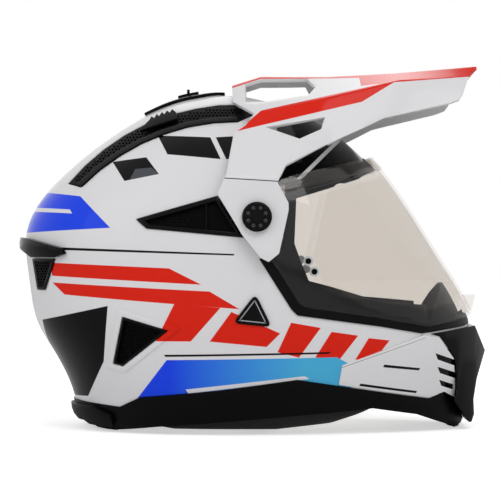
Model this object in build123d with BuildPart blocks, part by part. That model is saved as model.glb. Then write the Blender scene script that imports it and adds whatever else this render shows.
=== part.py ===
from build123d import *
from functools import lru_cache
from math import copysign, cos, pi, sin, sqrt
import os

# Dual sport helmet in its own frame: +X forward, +Y to the wearer's left, +Z up, with the
# origin under the middle of the helmet, on the surface that it stands on.

# Driving sizes of the outer form
half_length = 180 * MM
half_width = 120 * MM
crown_height = 259 * MM
mean_size = (half_length * half_width * crown_height) ** (1 / 3)
shell_wall = 3.6 * MM
clearance = 0.3 * MM
overrun = 60 * MM

# The outer form, level by level: height share, rear share, front share, width share and the
# exponents of the rounded front and rear halves. Each level is a closed, slightly squared oval.
level_shares = [
    (0.000, 0.672, 0.905, 0.735, 2.15, 2.20),
    (0.023, 0.733, 0.922, 0.775, 2.15, 2.20),
    (0.085, 0.766, 0.937, 0.842, 2.15, 2.20),
    (0.154, 0.800, 0.950, 0.896, 2.15, 2.25),
    (0.232, 0.861, 0.967, 0.938, 2.15, 2.25),
    (0.309, 0.925, 0.950, 0.971, 2.15, 2.25),
    (0.398, 0.956, 0.894, 0.992, 2.15, 2.25),
    (0.483, 0.972, 0.817, 1.000, 2.20, 2.25),
    (0.579, 0.978, 0.731, 0.996, 2.20, 2.25),
    (0.676, 0.917, 0.642, 0.954, 2.20, 2.25),
    (0.772, 0.789, 0.539, 0.867, 2.20, 2.25),
    (0.842, 0.667, 0.439, 0.758, 2.15, 2.20),
    (0.911, 0.522, 0.306, 0.575, 2.10, 2.15),
    (0.958, 0.400, 0.172, 0.392, 2.05, 2.10),
    (0.988, 0.278, 0.033, 0.217, 2.00, 2.00),
]
widest_share = -0.067
apex_share = -0.156
points_around = 20
even_steps = [step / points_around for step in range(points_around + 1)]


def level_outline(level, out):
    """The points of one level of the form, moved outwards by out."""
    height, rear, front, width, front_power, rear_power = level
    points = []
    for step in range(points_around):
        turn = 2 * pi * step / points_around
        ahead = cos(turn) > 0
        power = front_power if ahead else rear_power
        reach = front - widest_share if ahead else rear + widest_share
        along = copysign(abs(cos(turn)) ** (2 / power), cos(turn))
        across = copysign(abs(sin(turn)) ** (2 / power), sin(turn))
        x = (widest_share + reach * along) * (half_length + out)
        y = width * across * (half_width + out)
        points.append((x, y))
    return points


@lru_cache(maxsize=None)
def form(out):
    """The closed body of the helmet's form, grown outwards by out or shrunk where it is negative."""
    with BuildPart(mode=Mode.PRIVATE) as body:
        for level in level_shares:
            with BuildSketch(Plane.XY.offset(level[0] * (crown_height + out))):
                with BuildLine():
                    points = level_outline(level, out)
                    add(Edge.make_spline(points, periodic=True, parameters=even_steps))
                make_face()
        apex = Vertex(apex_share * (half_length + out), 0, crown_height + out)
        loft(sections=[*body.pending_faces, apex])
    return body.part


def skin_half_width(x, z, out=0):
    """Half the width of the form, grown by out, at a place in the side view."""
    level = z / (crown_height + out)
    for low, high in zip(level_shares, level_shares[1:]):
        if low[0] <= level <= high[0]:
            part = (level - low[0]) / (high[0] - low[0])
            height, rear, front, width, front_power, rear_power = (
                a + (b - a) * part for a, b in zip(low, high)
            )
            along = x / (half_length + out) - widest_share
            reach = front - widest_share if along > 0 else rear + widest_share
            power = front_power if along > 0 else rear_power
            left = max(1 - abs(along / reach) ** power, 0)
            return width * left ** (1 / power) * (half_width + out)
    return 0


def side_points(shares, lift=0):
    """Points of a side outline, from shares of the half length and the crown height."""
    return [(x * half_length, z * crown_height + lift) for x, z in shares]


def side_prism(shares, side=0, grow=0, lift=0, round_by=0):
    """A block with a side outline: through the helmet, or on its right (-1) or left (1) alone."""
    with BuildPart(mode=Mode.PRIVATE) as block:
        with BuildSketch(Plane.XZ):
            with BuildLine():
                Polyline(*side_points(shares, lift), close=True)
            make_face()
            if grow:
                offset(amount=grow, kind=Kind.INTERSECTION)
            if round_by:
                fillet(vertices(), radius=round_by)
        width = half_width + overrun
        if side:
            extrude(amount=-side * width)
        else:
            extrude(amount=width, both=True)
    return block.part


def top_prism(shares, grow=0, low=0):
    """A block with an outline seen from above, mirrored to both sides, from the height low upwards."""
    with BuildPart(mode=Mode.PRIVATE) as block:
        with BuildSketch(Plane.XY.offset(low)):
            with BuildLine():
                Polyline(*[(x * half_length, y * half_width) for x, y in shares], close=True)
            make_face()
            if grow:
                offset(amount=grow, kind=Kind.INTERSECTION)
        extrude(amount=crown_height + overrun - low)
    return block.part


def patch(outside, inside, shares, side=0, grow=0, round_by=0):
    """A piece of skin between two offsets, inside a side outline."""
    with BuildPart(mode=Mode.PRIVATE) as piece:
        add(form(outside))
        add(side_prism(shares, side, grow, round_by=round_by), mode=Mode.INTERSECT)
        add(form(inside), mode=Mode.SUBTRACT)
    return piece.part


def cross_rod(radius, x, z, side, near=0, far=half_width + overrun):
    """A round rod along Y, on the right (-1) or left (1), between two distances from the middle."""
    start = near if side > 0 else -far
    with BuildPart(mode=Mode.PRIVATE) as rod:
        with BuildSketch(Plane((x, start, z), x_dir=(1, 0, 0), z_dir=(0, 1, 0))):
            Circle(radius)
        extrude(amount=far - near)
    return rod.part


def plain_box(x_from, x_to, y_from, y_to, z_from, z_to):
    """A block between two corners."""
    with BuildPart(mode=Mode.PRIVATE) as block:
        with BuildSketch(Plane.XY.offset(z_from)):
            with Locations(((x_from + x_to) / 2, (y_from + y_to) / 2)):
                Rectangle(x_to - x_from, y_to - y_from)
        extrude(amount=z_to - z_from)
    return block.part


def frame_ring(outside, inside, shares, band, side=0, round_by=0):
    """A rim of the given band width that follows a side outline."""
    with BuildPart(mode=Mode.PRIVATE) as ring:
        add(form(outside))
        add(side_prism(shares, side, -clearance, round_by=round_by), mode=Mode.INTERSECT)
        add([form(inside), side_prism(shares, side, -band)], mode=Mode.SUBTRACT)
    return ring.part


def opposite(right):
    """The left-hand twin of a right-hand piece."""
    return mirror(right, about=Plane.XZ, mode=Mode.PRIVATE)


pieces = {}

# Side outlines, as shares of the half length and the crown height
eyeport_shares = [
    (0.037, 0.505), (0.168, 0.361), (0.192, 0.344), (0.536, 0.311), (0.717, 0.288), (0.754, 0.290),
    (1.333, 0.342), (1.333, 0.965), (0.511, 0.799), (0.144, 0.722), (0.133, 0.564),
]
shell_edge_shares = [
    (-1.222, 0.050), (-0.750, 0.050), (-0.550, 0.042), (-0.461, 0.073), (-0.128, 0.097),
    (0.194, 0.127), (0.367, 0.108), (0.756, 0.066),
    (0.833, 0.050), (1.222, 0.050), (1.222, 1.158), (-1.222, 1.158),
]
trim_shares = [
    (-1.222, -0.039), (-0.567, -0.039), (-0.567, 0.002), (-0.389, 0.018), (0.511, 0.072),
    (0.700, 0.050), (0.878, 0.004), (0.878, -0.039),
    (1.222, -0.039), (1.222, 0.015), (0.933, 0.015), (0.817, 0.108), (0.756, 0.095), (0.367, 0.139),
    (0.194, 0.158), (-0.128, 0.127),
    (-0.461, 0.104), (-0.550, 0.073), (-0.750, 0.085), (-1.222, 0.089),
]
side_vent_shares = [(-0.472, 0.619), (-0.133, 0.686), (-0.024, 0.565), (-0.427, 0.592)]
lower_vent_shares = [(-0.528, 0.340), (-0.337, 0.301), (-0.529, 0.195), (-0.572, 0.202)]
button_shares = [(0.021, 0.407), (-0.073, 0.323), (0.088, 0.311)]
button_corner = 3 * MM
top_vent_shares = [
    (-0.778, 0.726), (-0.707, 0.782), (-0.627, 0.831), (-0.539, 0.874), (-0.444, 0.908),
    (-0.344, 0.933),
    (-0.240, 0.951), (-0.134, 0.963), (-0.027, 0.964), (0.078, 0.950), (-0.052, 0.903), (-0.156, 0.900),
    (-0.259, 0.888), (-0.360, 0.868), (-0.457, 0.840), (-0.548, 0.804), (-0.633, 0.762),
    (-0.711, 0.713),
]

# Outer shell: one moulded skin with the eyeport, the vents and the chin opening cut through
hub_radius = 12 * MM
pivot_shares = [(0.027, 0.624)]
pivot_x, pivot_z = side_points(pivot_shares)[0]
chin_port_half_width = 21 * MM
chin_port_low_share = 0.116
chin_port_high_share = 0.232
chin_port_low = chin_port_low_share * crown_height
chin_port_high = chin_port_high_share * crown_height
centre_port_length = 34 * MM
centre_port_width = 12 * MM
centre_port_share = -0.283

with BuildPart() as outer_shell:
    add(form(0))
    add(side_prism(shell_edge_shares), mode=Mode.INTERSECT)
    add(side_prism(eyeport_shares), mode=Mode.SUBTRACT)
    add(form(-shell_wall), mode=Mode.SUBTRACT)
    for side in (-1, 1):
        for vent_shares in (side_vent_shares, lower_vent_shares, top_vent_shares):
            add(side_prism(vent_shares, side), mode=Mode.SUBTRACT)
        add(side_prism(button_shares, side, round_by=button_corner), mode=Mode.SUBTRACT)
        hub_hole = cross_rod(hub_radius + clearance, pivot_x, pivot_z, side)
        add(hub_hole, mode=Mode.SUBTRACT)
    add(
        plain_box(0, half_length + overrun, -chin_port_half_width, chin_port_half_width,
                  chin_port_low, chin_port_high),
        mode=Mode.SUBTRACT,
    )
    with BuildSketch(Plane.XY.offset(crown_height / 2)):
        with Locations((centre_port_share * half_length, 0)):
            SlotOverall(centre_port_length, centre_port_width)
    extrude(amount=crown_height, mode=Mode.SUBTRACT)
pieces["outer_shell"] = outer_shell.part

# Eyeport gasket: a rubber band that lines the opening of the shell
gasket_band = 8.5 * MM
gasket_proud = 1.2 * MM
with BuildPart() as eyeport_gasket:
    add(frame_ring(gasket_proud, -shell_wall + clearance, eyeport_shares, gasket_band))
pieces["eyeport_gasket"] = eyeport_gasket.part

# Lower trim: the black edge strip, grooved for the edge of the shell
trim_proud = 1.5 * MM
trim_depth = 5.2 * MM
heel_proud = 6 * MM
heel_shares = [
    (-1.222, 0.027), (-0.711, 0.025), (-0.689, 0.014), (-0.650, 0.014), (-0.628, 0.006),
    (-0.578, 0.014), (-0.589, 0.046),
    (-0.678, 0.071), (-1.222, 0.069),
]
with BuildPart() as lower_trim:
    add(patch(trim_proud, -trim_depth, trim_shares))
    add(patch(heel_proud, 0, heel_shares))
    with BuildPart(mode=Mode.PRIVATE) as groove:
        add(form(clearance))
        add(side_prism(shell_edge_shares, lift=-clearance), mode=Mode.INTERSECT)
        add(form(-shell_wall - clearance), mode=Mode.SUBTRACT)
    add(groove.part, mode=Mode.SUBTRACT)
pieces["lower_trim"] = lower_trim.part

# Chin side panels: white covers over the shell beside the chin mask, with slanted slots
panel_shares = [
    (0.367, 0.144), (0.756, 0.099), (0.822, 0.114), (0.883, 0.091), (0.872, 0.154), (0.863, 0.212),
    (0.793, 0.274),
    (0.726, 0.283), (0.380, 0.199),
]
panel_slot_shares = [
    [(0.783, 0.222), (0.867, 0.201), (0.867, 0.191), (0.794, 0.207)],
    [(0.794, 0.183), (0.872, 0.164), (0.872, 0.154), (0.806, 0.168)],
    [(0.806, 0.145), (0.872, 0.129), (0.872, 0.120), (0.814, 0.131)],
]
panel_proud = 2.2 * MM
with BuildPart() as chin_panel_right:
    add(patch(panel_proud, clearance, panel_shares, -1))
    for slot_shares in panel_slot_shares:
        add(side_prism(slot_shares, -1), mode=Mode.SUBTRACT)
pieces["chin_panel_right"] = chin_panel_right.part
pieces["chin_panel_left"] = opposite(chin_panel_right.part)

# Chin mask: the faceted black cover over the front of the chin bar, with louvres
mask_shares = [
    (0.756, 0.286), (0.967, 0.305), (1.022, 0.228), (0.977, 0.147), (0.960, 0.085), (0.963, 0.041),
    (0.950, 0.018),
    (0.939, 0.018), (0.889, 0.087), (0.878, 0.154), (0.868, 0.213), (0.797, 0.277),
]
mask_plan_shares = [
    (0.667, -0.733), (0.767, -0.608), (0.833, -0.512), (0.906, -0.383), (0.978, -0.242),
    (1.025, -0.092), (1.025, 0.092),
    (0.978, 0.242), (0.906, 0.383), (0.833, 0.512), (0.767, 0.608), (0.667, 0.733),
]
mask_reach = 12 * MM
louvre_count = 3
louvre_height = 3.2 * MM
louvre_pitch = 7.5 * MM
louvre_half_width = 15 * MM
louvre_share = 0.168
with BuildPart() as chin_mask:
    add(form(mask_reach))
    add(side_prism(mask_shares), mode=Mode.INTERSECT)
    add(top_prism(mask_plan_shares), mode=Mode.INTERSECT)
    add(form(clearance), mode=Mode.SUBTRACT)
    with BuildSketch(Plane.YZ):
        with Locations((0, louvre_share * crown_height)):
            with GridLocations(louvre_pitch, louvre_pitch, 1, louvre_count):
                SlotOverall(2 * louvre_half_width, louvre_height)
    extrude(amount=half_length + overrun, mode=Mode.SUBTRACT)
pieces["chin_mask"] = chin_mask.part

# Chin vent: a mesh plate in the port of the shell, and a shutter that slides up behind it
mesh_wall = 1.8 * MM
with BuildPart() as chin_vent_mesh:
    add(form(-clearance))
    add(
        plain_box(0, half_length, -chin_port_half_width + clearance, chin_port_half_width - clearance,
                  chin_port_low + clearance, chin_port_high - clearance),
        mode=Mode.INTERSECT,
    )
    add(form(-clearance - mesh_wall), mode=Mode.SUBTRACT)
pieces["chin_vent_mesh"] = chin_vent_mesh.part

duct_front_share = 0.9556
duct_bridge = 4 * MM
duct_room = 0.5 * MM
chin_liner_inner = 20 * MM
duct_back = duct_front_share * half_length - chin_liner_inner + duct_bridge
shutter_lip = 3 * MM
shutter_wall = 2.2 * MM
shutter_rise = 3 * MM
shutter_x = duct_back + shutter_lip + duct_room
shutter_half_width = chin_port_half_width + duct_room - clearance
shutter_low = chin_port_low + shutter_rise
shutter_high = chin_port_high + clearance
with BuildPart() as chin_vent_shutter:
    add(
        plain_box(shutter_x, shutter_x + shutter_wall, -shutter_half_width, shutter_half_width,
                  shutter_low, shutter_high)
    )
    add(
        plain_box(shutter_x - shutter_lip, shutter_x, -shutter_half_width / 2, shutter_half_width / 2,
                  shutter_high - shutter_wall, shutter_high)
    )
pieces["chin_vent_shutter"] = chin_vent_shutter.part

# Side vents and lower vents: a bevelled frame in the shell and a mesh plate sunk inside it
frame_proud = 1.2 * MM
frame_band = 3.5 * MM
lower_frame_band = 2.2 * MM
mesh_sink = 2 * MM
vents = (
    ("side_vent", side_vent_shares, frame_band),
    ("lower_vent", lower_vent_shares, lower_frame_band),
)
for name, vent_shares, band in vents:
    with BuildPart() as vent_frame:
        add(frame_ring(frame_proud, -shell_wall, vent_shares, band, -1))
    with BuildPart() as vent_mesh:
        add(patch(-mesh_sink, -shell_wall, vent_shares, -1, -band - clearance))
    pieces[name + "_right"] = vent_frame.part
    pieces[name + "_left"] = opposite(vent_frame.part)
    pieces[name + "_mesh_right"] = vent_mesh.part
    pieces[name + "_mesh_left"] = opposite(vent_mesh.part)

# Top vents: long mesh strips either side of the crown, each with a toothed slider on it
strip_sink = 0.6 * MM
rail_proud = 1.3 * MM
rail_root = 1.4 * MM
rail_shares = [
    (-0.056, 0.923), (-0.163, 0.919), (-0.269, 0.906), (-0.372, 0.884), (-0.471, 0.855),
    (-0.564, 0.819),
    (-0.651, 0.775), (-0.731, 0.724), (-0.709, 0.718), (-0.632, 0.767), (-0.547, 0.808),
    (-0.456, 0.844), (-0.360, 0.872), (-0.260, 0.892), (-0.157, 0.904), (-0.053, 0.908),
]
slider_shares = [
    (-0.456, 0.882), (-0.439, 0.902), (-0.420, 0.906), (-0.417, 0.914), (-0.403, 0.910),
    (-0.398, 0.919),
    (-0.384, 0.915), (-0.379, 0.924), (-0.366, 0.920), (-0.360, 0.929), (-0.347, 0.925),
    (-0.339, 0.932),
    (-0.322, 0.929), (-0.317, 0.913),
]
slider_gap = 0.9 * MM
slider_wall = 2.4 * MM
with BuildPart() as top_vent_right:
    add(patch(-strip_sink, -shell_wall, top_vent_shares, -1, -clearance))
    add(patch(rail_proud, -rail_root, rail_shares, -1))
pieces["top_vent_right"] = top_vent_right.part
pieces["top_vent_left"] = opposite(top_vent_right.part)
with BuildPart() as top_vent_slider_right:
    add(patch(slider_gap + slider_wall - strip_sink, slider_gap - strip_sink, slider_shares, -1))
pieces["top_vent_slider_right"] = top_vent_slider_right.part
pieces["top_vent_slider_left"] = opposite(top_vent_slider_right.part)

# Centre vent: a low cover on the crown with three ports and a small slider with an upright pin
centre_shares = [
    (-0.467, -0.075), (-0.428, -0.125), (-0.222, -0.142), (-0.122, -0.067), (-0.122, 0.067),
    (-0.222, 0.142), (-0.428, 0.125), (-0.467, 0.075),
]
centre_proud = 2.6 * MM
centre_slot_length = 9 * MM
centre_slot_width = 3.5 * MM
centre_slot_pitch = 7 * MM
centre_slot_count = 3
centre_slot_share = -0.378
centre_pin_share = -0.272
centre_pin_x = centre_pin_share * half_length
centre_slider_half_length = 8 * MM
centre_slider_half_width = 5 * MM
centre_slider_gap = 0.6 * MM
centre_slider_wall = 1.4 * MM
pin_radius = 1.1 * MM
pin_height = 3.2 * MM
with BuildPart() as centre_vent:
    add(form(centre_proud))
    add(top_prism(centre_shares, low=crown_height / 2), mode=Mode.INTERSECT)
    add(form(clearance), mode=Mode.SUBTRACT)
    with BuildSketch(Plane.XY.offset(crown_height / 2)):
        with Locations((centre_slot_share * half_length, 0)):
            with GridLocations(centre_slot_pitch, centre_slot_pitch, 1, centre_slot_count):
                SlotOverall(centre_slot_length, centre_slot_width)
    extrude(amount=crown_height, mode=Mode.SUBTRACT)
pieces["centre_vent"] = centre_vent.part
with BuildPart() as centre_vent_slider:
    add(form(centre_proud + centre_slider_gap + centre_slider_wall))
    add(
        plain_box(centre_pin_x - centre_slider_half_length, centre_pin_x + centre_slider_half_length,
                  -centre_slider_half_width, centre_slider_half_width,
                  crown_height / 2, crown_height + overrun),
        mode=Mode.INTERSECT,
    )
    add(form(centre_proud + centre_slider_gap), mode=Mode.SUBTRACT)
    pin_base = centre_vent_slider.part.faces().sort_by(Axis.Z)[-1].center().Z
    with BuildSketch(Plane.XY.offset(pin_base - centre_slider_wall / 2)):
        with Locations((centre_pin_x, 0)):
            Circle(pin_radius)
    extrude(amount=pin_height)
pieces["centre_vent_slider"] = centre_vent_slider.part

# Rear spoiler: the black hood that wraps round the back, with a mesh vent under each of its ends
spoiler_shares = [
    (-1.222, 0.587), (-0.956, 0.566), (-0.797, 0.537), (-0.783, 0.519), (-0.817, 0.510),
    (-0.933, 0.510), (-1.000, 0.537),
    (-1.222, 0.548),
]
spoiler_proud = 5 * MM
rear_vent_shares = [(-0.931, 0.506), (-0.820, 0.506), (-0.869, 0.413), (-0.908, 0.413)]
rear_vent_proud = 1.4 * MM
with BuildPart() as rear_spoiler:
    add(patch(spoiler_proud, clearance, spoiler_shares))
pieces["rear_spoiler"] = rear_spoiler.part
with BuildPart() as rear_vent_right:
    add(patch(rear_vent_proud, clearance, rear_vent_shares, -1))
pieces["rear_vent_right"] = rear_vent_right.part
pieces["rear_vent_left"] = opposite(rear_vent_right.part)

# Buttons: a rounded triangle that is pressed in, in its own bezel
bezel_band = 3 * MM
bezel_proud = 1.4 * MM
button_proud = 2.4 * MM
button_depth = 1.5 * MM
with BuildPart() as button_bezel_right:
    add(frame_ring(bezel_proud, -shell_wall, button_shares, bezel_band, -1, button_corner))
pieces["button_bezel_right"] = button_bezel_right.part
pieces["button_bezel_left"] = opposite(button_bezel_right.part)
with BuildPart() as button_right:
    add(patch(button_proud, -button_depth, button_shares, -1, -bezel_band - clearance))
pieces["button_right"] = button_right.part
pieces["button_left"] = opposite(button_right.part)

# Pivot hubs: turned inserts in the shell that carry the shield, the peak and the sun visor
peak_wall = 2.8 * MM
arm_face_share = 1.0775
hub_inner_share = 0.825
hub_shoulder_share = 0.958
visor_pin_share = 0.7625
arm_face = arm_face_share * half_width
hub_inner = hub_inner_share * half_width
hub_shoulder = hub_shoulder_share * half_width
hub_face = arm_face - peak_wall - clearance
neck_radius = 9 * MM
stud_radius = 4 * MM
visor_pin_radius = 3.5 * MM
visor_pin_end = visor_pin_share * half_width
pivot_plane = Plane((pivot_x, 0, pivot_z), x_dir=(1, 0, 0), z_dir=(0, 1, 0))
with BuildPart() as pivot_hub_left:
    with BuildSketch(pivot_plane.offset(visor_pin_end)):
        Circle(visor_pin_radius)
    extrude(amount=hub_face - visor_pin_end)
    with BuildSketch(pivot_plane.offset(hub_inner)):
        Circle(hub_radius)
    extrude(amount=hub_shoulder - hub_inner)
    with BuildSketch(pivot_plane.offset(hub_shoulder)):
        Circle(neck_radius)
    extrude(amount=hub_face - hub_shoulder)
    with BuildSketch(pivot_plane.offset(hub_face)):
        Circle(stud_radius)
    extrude(amount=arm_face - hub_face)
pieces["pivot_hub_left"] = pivot_hub_left.part
pieces["pivot_hub_right"] = opposite(pivot_hub_left.part)

# Face shield: a clear skin in front of the eyeport, with a lift tab at its lower front edge
shield_shares = [
    (0.005, 0.568), (-0.027, 0.580), (-0.049, 0.600), (-0.057, 0.624), (-0.049, 0.649),
    (-0.027, 0.669), (0.005, 0.683), (0.050, 0.730), (0.144, 0.737), (0.550, 0.811), (1.333, 0.954),
    (1.333, 0.394),
    (0.936, 0.335), (0.749, 0.307), (0.536, 0.336), (0.225, 0.368), (0.202, 0.377), (0.093, 0.494),
    (0.022, 0.533),
]
shield_gap = 3.6 * MM
shield_wall = 2.2 * MM
tab_shares = [(0.911, 0.355), (0.933, 0.394), (0.981, 0.396), (0.964, 0.349), (0.933, 0.347)]
tab_half_width = 11 * MM
with BuildPart() as face_shield:
    add(patch(shield_gap + shield_wall, shield_gap, shield_shares))
    for side in (-1, 1):
        hub_hole = cross_rod(neck_radius + clearance, pivot_x, pivot_z, side)
        add(hub_hole, mode=Mode.SUBTRACT)
    with BuildPart(mode=Mode.PRIVATE) as lift_tab:
        with BuildSketch(Plane.XZ):
            with BuildLine():
                Polyline(*side_points(tab_shares), close=True)
            make_face()
        extrude(amount=tab_half_width, both=True)
        add(form(shield_gap + shield_wall / 2), mode=Mode.SUBTRACT)
    add(lift_tab.part)
pieces["face_shield"] = face_shield.part

# Antifog lens: a thin inner lens held on two pins a side
lens_shares = [
    (0.256, 0.510), (0.322, 0.710), (0.556, 0.749), (1.333, 0.896), (1.333, 0.456), (0.889, 0.378),
    (0.744, 0.355), (0.544, 0.382), (0.322, 0.402),
]
lens_gap = 0.3 * MM
lens_wall = 1 * MM
with BuildPart() as antifog_lens:
    add(patch(shield_gap - lens_gap, shield_gap - lens_gap - lens_wall, lens_shares))
pieces["antifog_lens"] = antifog_lens.part

# Peak: a folded sheet over the brow with a raised middle, ridges and arms down to the pivots
peak_station_shares = [
    (-0.2, [(1.078, 0.456), (1.078, 0.737), (0.733, 0.873), (0.200, 0.998), (0.000, 1.000)]),
    (0.0444, [(1.078, 0.456), (1.078, 0.737), (0.733, 0.932), (0.200, 1.052), (0.000, 1.053)]),
    (0.1667, [(1.078, 0.456), (1.067, 0.737), (0.721, 0.950), (0.200, 1.051), (0.000, 1.053)]),
    (0.3333, [(0.933, 0.656), (0.821, 0.838), (0.700, 0.974), (0.208, 1.051), (0.000, 1.052)]),
    (0.6278, [(0.767, 0.772), (0.633, 0.927), (0.583, 1.027), (0.250, 1.060), (0.000, 1.062)]),
    (0.9889, [(0.633, 0.830), (0.483, 0.988), (0.396, 1.045), (0.317, 1.080), (0.000, 1.082)]),
]
peak_profile_shares = [
    (-0.133, 0.689), (-0.097, 0.748), (-0.087, 0.795), (-0.069, 0.867), (-0.019, 0.890), (0.017, 0.927),
    (-0.075, 0.969), (-0.089, 1.158),
    (1.056, 1.158), (0.989, 1.085), (0.969, 1.079), (0.928, 1.042), (0.899, 0.988), (0.883, 0.973),
    (0.840, 0.961),
    (0.628, 0.927), (0.559, 0.915), (0.479, 0.888), (0.377, 0.855), (0.286, 0.824), (0.211, 0.797),
    (0.146, 0.774),
    (0.122, 0.741), (0.111, 0.720), (0.155, 0.664), (0.155, 0.642), (0.117, 0.521), (0.074, 0.497),
    (0.041, 0.508),
    (-0.034, 0.574),
]
side_window_shares = [(0.062, 0.884), (0.310, 0.914), (0.293, 0.879), (0.202, 0.849)]
top_window_shares = [
    (-0.022, 0.242), (-0.022, 0.517), (0.056, 0.600), (0.244, 0.583), (0.278, 0.433),
    (0.244, 0.242),
]
window_low_share = 0.927
seam_shares = [(-0.144, 0.737), (0.167, 0.724), (0.167, 0.720), (-0.144, 0.734)]
seam_depth = 0.5 * MM


def folded_band(shares, wall):
    """A closed band of even thickness along a folded line, mirrored about the middle."""
    line = [(y * half_width, z * crown_height) for y, z in shares]
    line += [(-y, z) for y, z in reversed(line[:-1])]
    normals = []
    for (y0, z0), (y1, z1) in zip(line, line[1:]):
        run = sqrt((y1 - y0) ** 2 + (z1 - z0) ** 2)
        normals.append((-(z1 - z0) / run, (y1 - y0) / run))
    inner = []
    for number, (y, z) in enumerate(line):
        before = normals[max(number - 1, 0)]
        after = normals[min(number, len(normals) - 1)]
        share = wall / (1 + before[0] * after[0] + before[1] * after[1])
        inner.append((y + (before[0] + after[0]) * share, z + (before[1] + after[1]) * share))
    return line + inner[::-1]


with BuildPart() as peak:
    for station_share, shares in peak_station_shares:
        with BuildSketch(Plane.YZ.offset(station_share * half_length)):
            with BuildLine():
                Polyline(*folded_band(shares, peak_wall), close=True)
            make_face()
    loft(ruled=True)
    add(side_prism(peak_profile_shares), mode=Mode.INTERSECT)
    for side in (-1, 1):
        add(side_prism(side_window_shares, side), mode=Mode.SUBTRACT)
        window_shares = [(x, side * y) for x, y in top_window_shares]
        window = top_prism(window_shares, low=window_low_share * crown_height)
        add(window, mode=Mode.SUBTRACT)
        add(cross_rod(stud_radius + clearance, pivot_x, pivot_z, side), mode=Mode.SUBTRACT)
        with BuildSketch(Plane.XZ.offset(-side * (arm_face - seam_depth))):
            with BuildLine():
                Polyline(*side_points(seam_shares), close=True)
            make_face()
        extrude(amount=-side * overrun, mode=Mode.SUBTRACT)
pieces["peak"] = peak.part

# Peak knobs: fluted round screws through the arms of the peak into the hubs
knob_radius = 11 * MM
knob_height = 4.2 * MM
knob_round = 1 * MM
knob_back = arm_face + clearance
flute_count = 8
flute_radius = 2 * MM
flute_depth = 1.2 * MM
flute_circle = 7.4 * MM
with BuildPart() as peak_knob_left:
    with BuildSketch(pivot_plane.offset(knob_back)):
        Circle(knob_radius)
    extrude(amount=knob_height)
    fillet(peak_knob_left.edges().sort_by(Axis.Y)[-1], radius=knob_round)
    with BuildSketch(pivot_plane.offset(knob_back + knob_height)):
        with PolarLocations(flute_circle, flute_count):
            Circle(flute_radius)
        Circle(flute_radius)
    extrude(amount=-flute_depth, mode=Mode.SUBTRACT)
pieces["peak_knob_left"] = peak_knob_left.part
pieces["peak_knob_right"] = opposite(peak_knob_left.part)

# Sun visor: a tinted inner visor, turned about the line of the pivots, with a fan arm each side
visor_reach_share = 0.4732157
visor_edge_reach_share = 0.2222
visor_edge_side_share = 0.7583
visor_arm_side_share = 0.8
visor_arm_reach_share = 0.1667
visor_radius = visor_reach_share * mean_size
visor_edge_radius = visor_edge_reach_share * half_length
visor_edge_y = visor_edge_side_share * half_width
visor_arm_y = visor_arm_side_share * half_width
visor_arm_radius = visor_arm_reach_share * half_length
visor_wall = 2 * MM
visor_eye_radius = 9 * MM
visor_low_angle = 31
visor_high_angle = 77
visor_drop_angle = 60
visor_stop_angle = 3
visor_room = 1.5 * MM


def turned_visor(grow, low_angle, high_angle):
    """The visor's profile, grown all round, turned about the pivots between two angles."""
    rise = low_angle * pi / 180
    profile = Plane((pivot_x, 0, pivot_z), x_dir=(0, 1, 0), z_dir=(sin(rise), 0, -cos(rise)))
    arm_end = visor_eye_radius / 2
    edge_y = visor_edge_y - visor_wall
    arm_y = visor_arm_y - visor_wall
    right_arm = [
        (edge_y, visor_edge_radius), (arm_y, visor_arm_radius), (arm_y, arm_end),
        (visor_arm_y, arm_end), (visor_arm_y, visor_arm_radius), (visor_edge_y, visor_edge_radius),
    ]
    left_arm = [(-y, reach) for y, reach in right_arm]
    with BuildPart(mode=Mode.PRIVATE) as visor:
        with BuildSketch(profile):
            with BuildLine():
                Polyline(*right_arm)
                ThreePointArc(right_arm[-1], (0, visor_radius), left_arm[-1])
                Polyline(*left_arm)
                ThreePointArc(right_arm[0], (0, visor_radius - visor_wall), left_arm[0])
            make_face()
            if grow:
                offset(amount=grow, kind=Kind.INTERSECTION)
        pivot_axis = Axis((pivot_x, 0, pivot_z), (0, -1, 0))
        revolve(axis=pivot_axis, revolution_arc=high_angle - low_angle)
        eye_wall = visor_wall + 2 * grow
        for side in (-1, 1):
            start = side * (visor_arm_y + grow)
            end = side * (visor_arm_y + grow - eye_wall)
            with BuildSketch(pivot_plane.offset(min(start, end))):
                Circle(visor_eye_radius + grow)
            extrude(amount=eye_wall)
    return visor.part


with BuildPart() as sun_visor:
    add(turned_visor(0, visor_low_angle, visor_high_angle))
    for side in (-1, 1):
        add(cross_rod(visor_pin_radius + clearance, pivot_x, pivot_z, side), mode=Mode.SUBTRACT)
pieces["sun_visor"] = sun_visor.part

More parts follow.
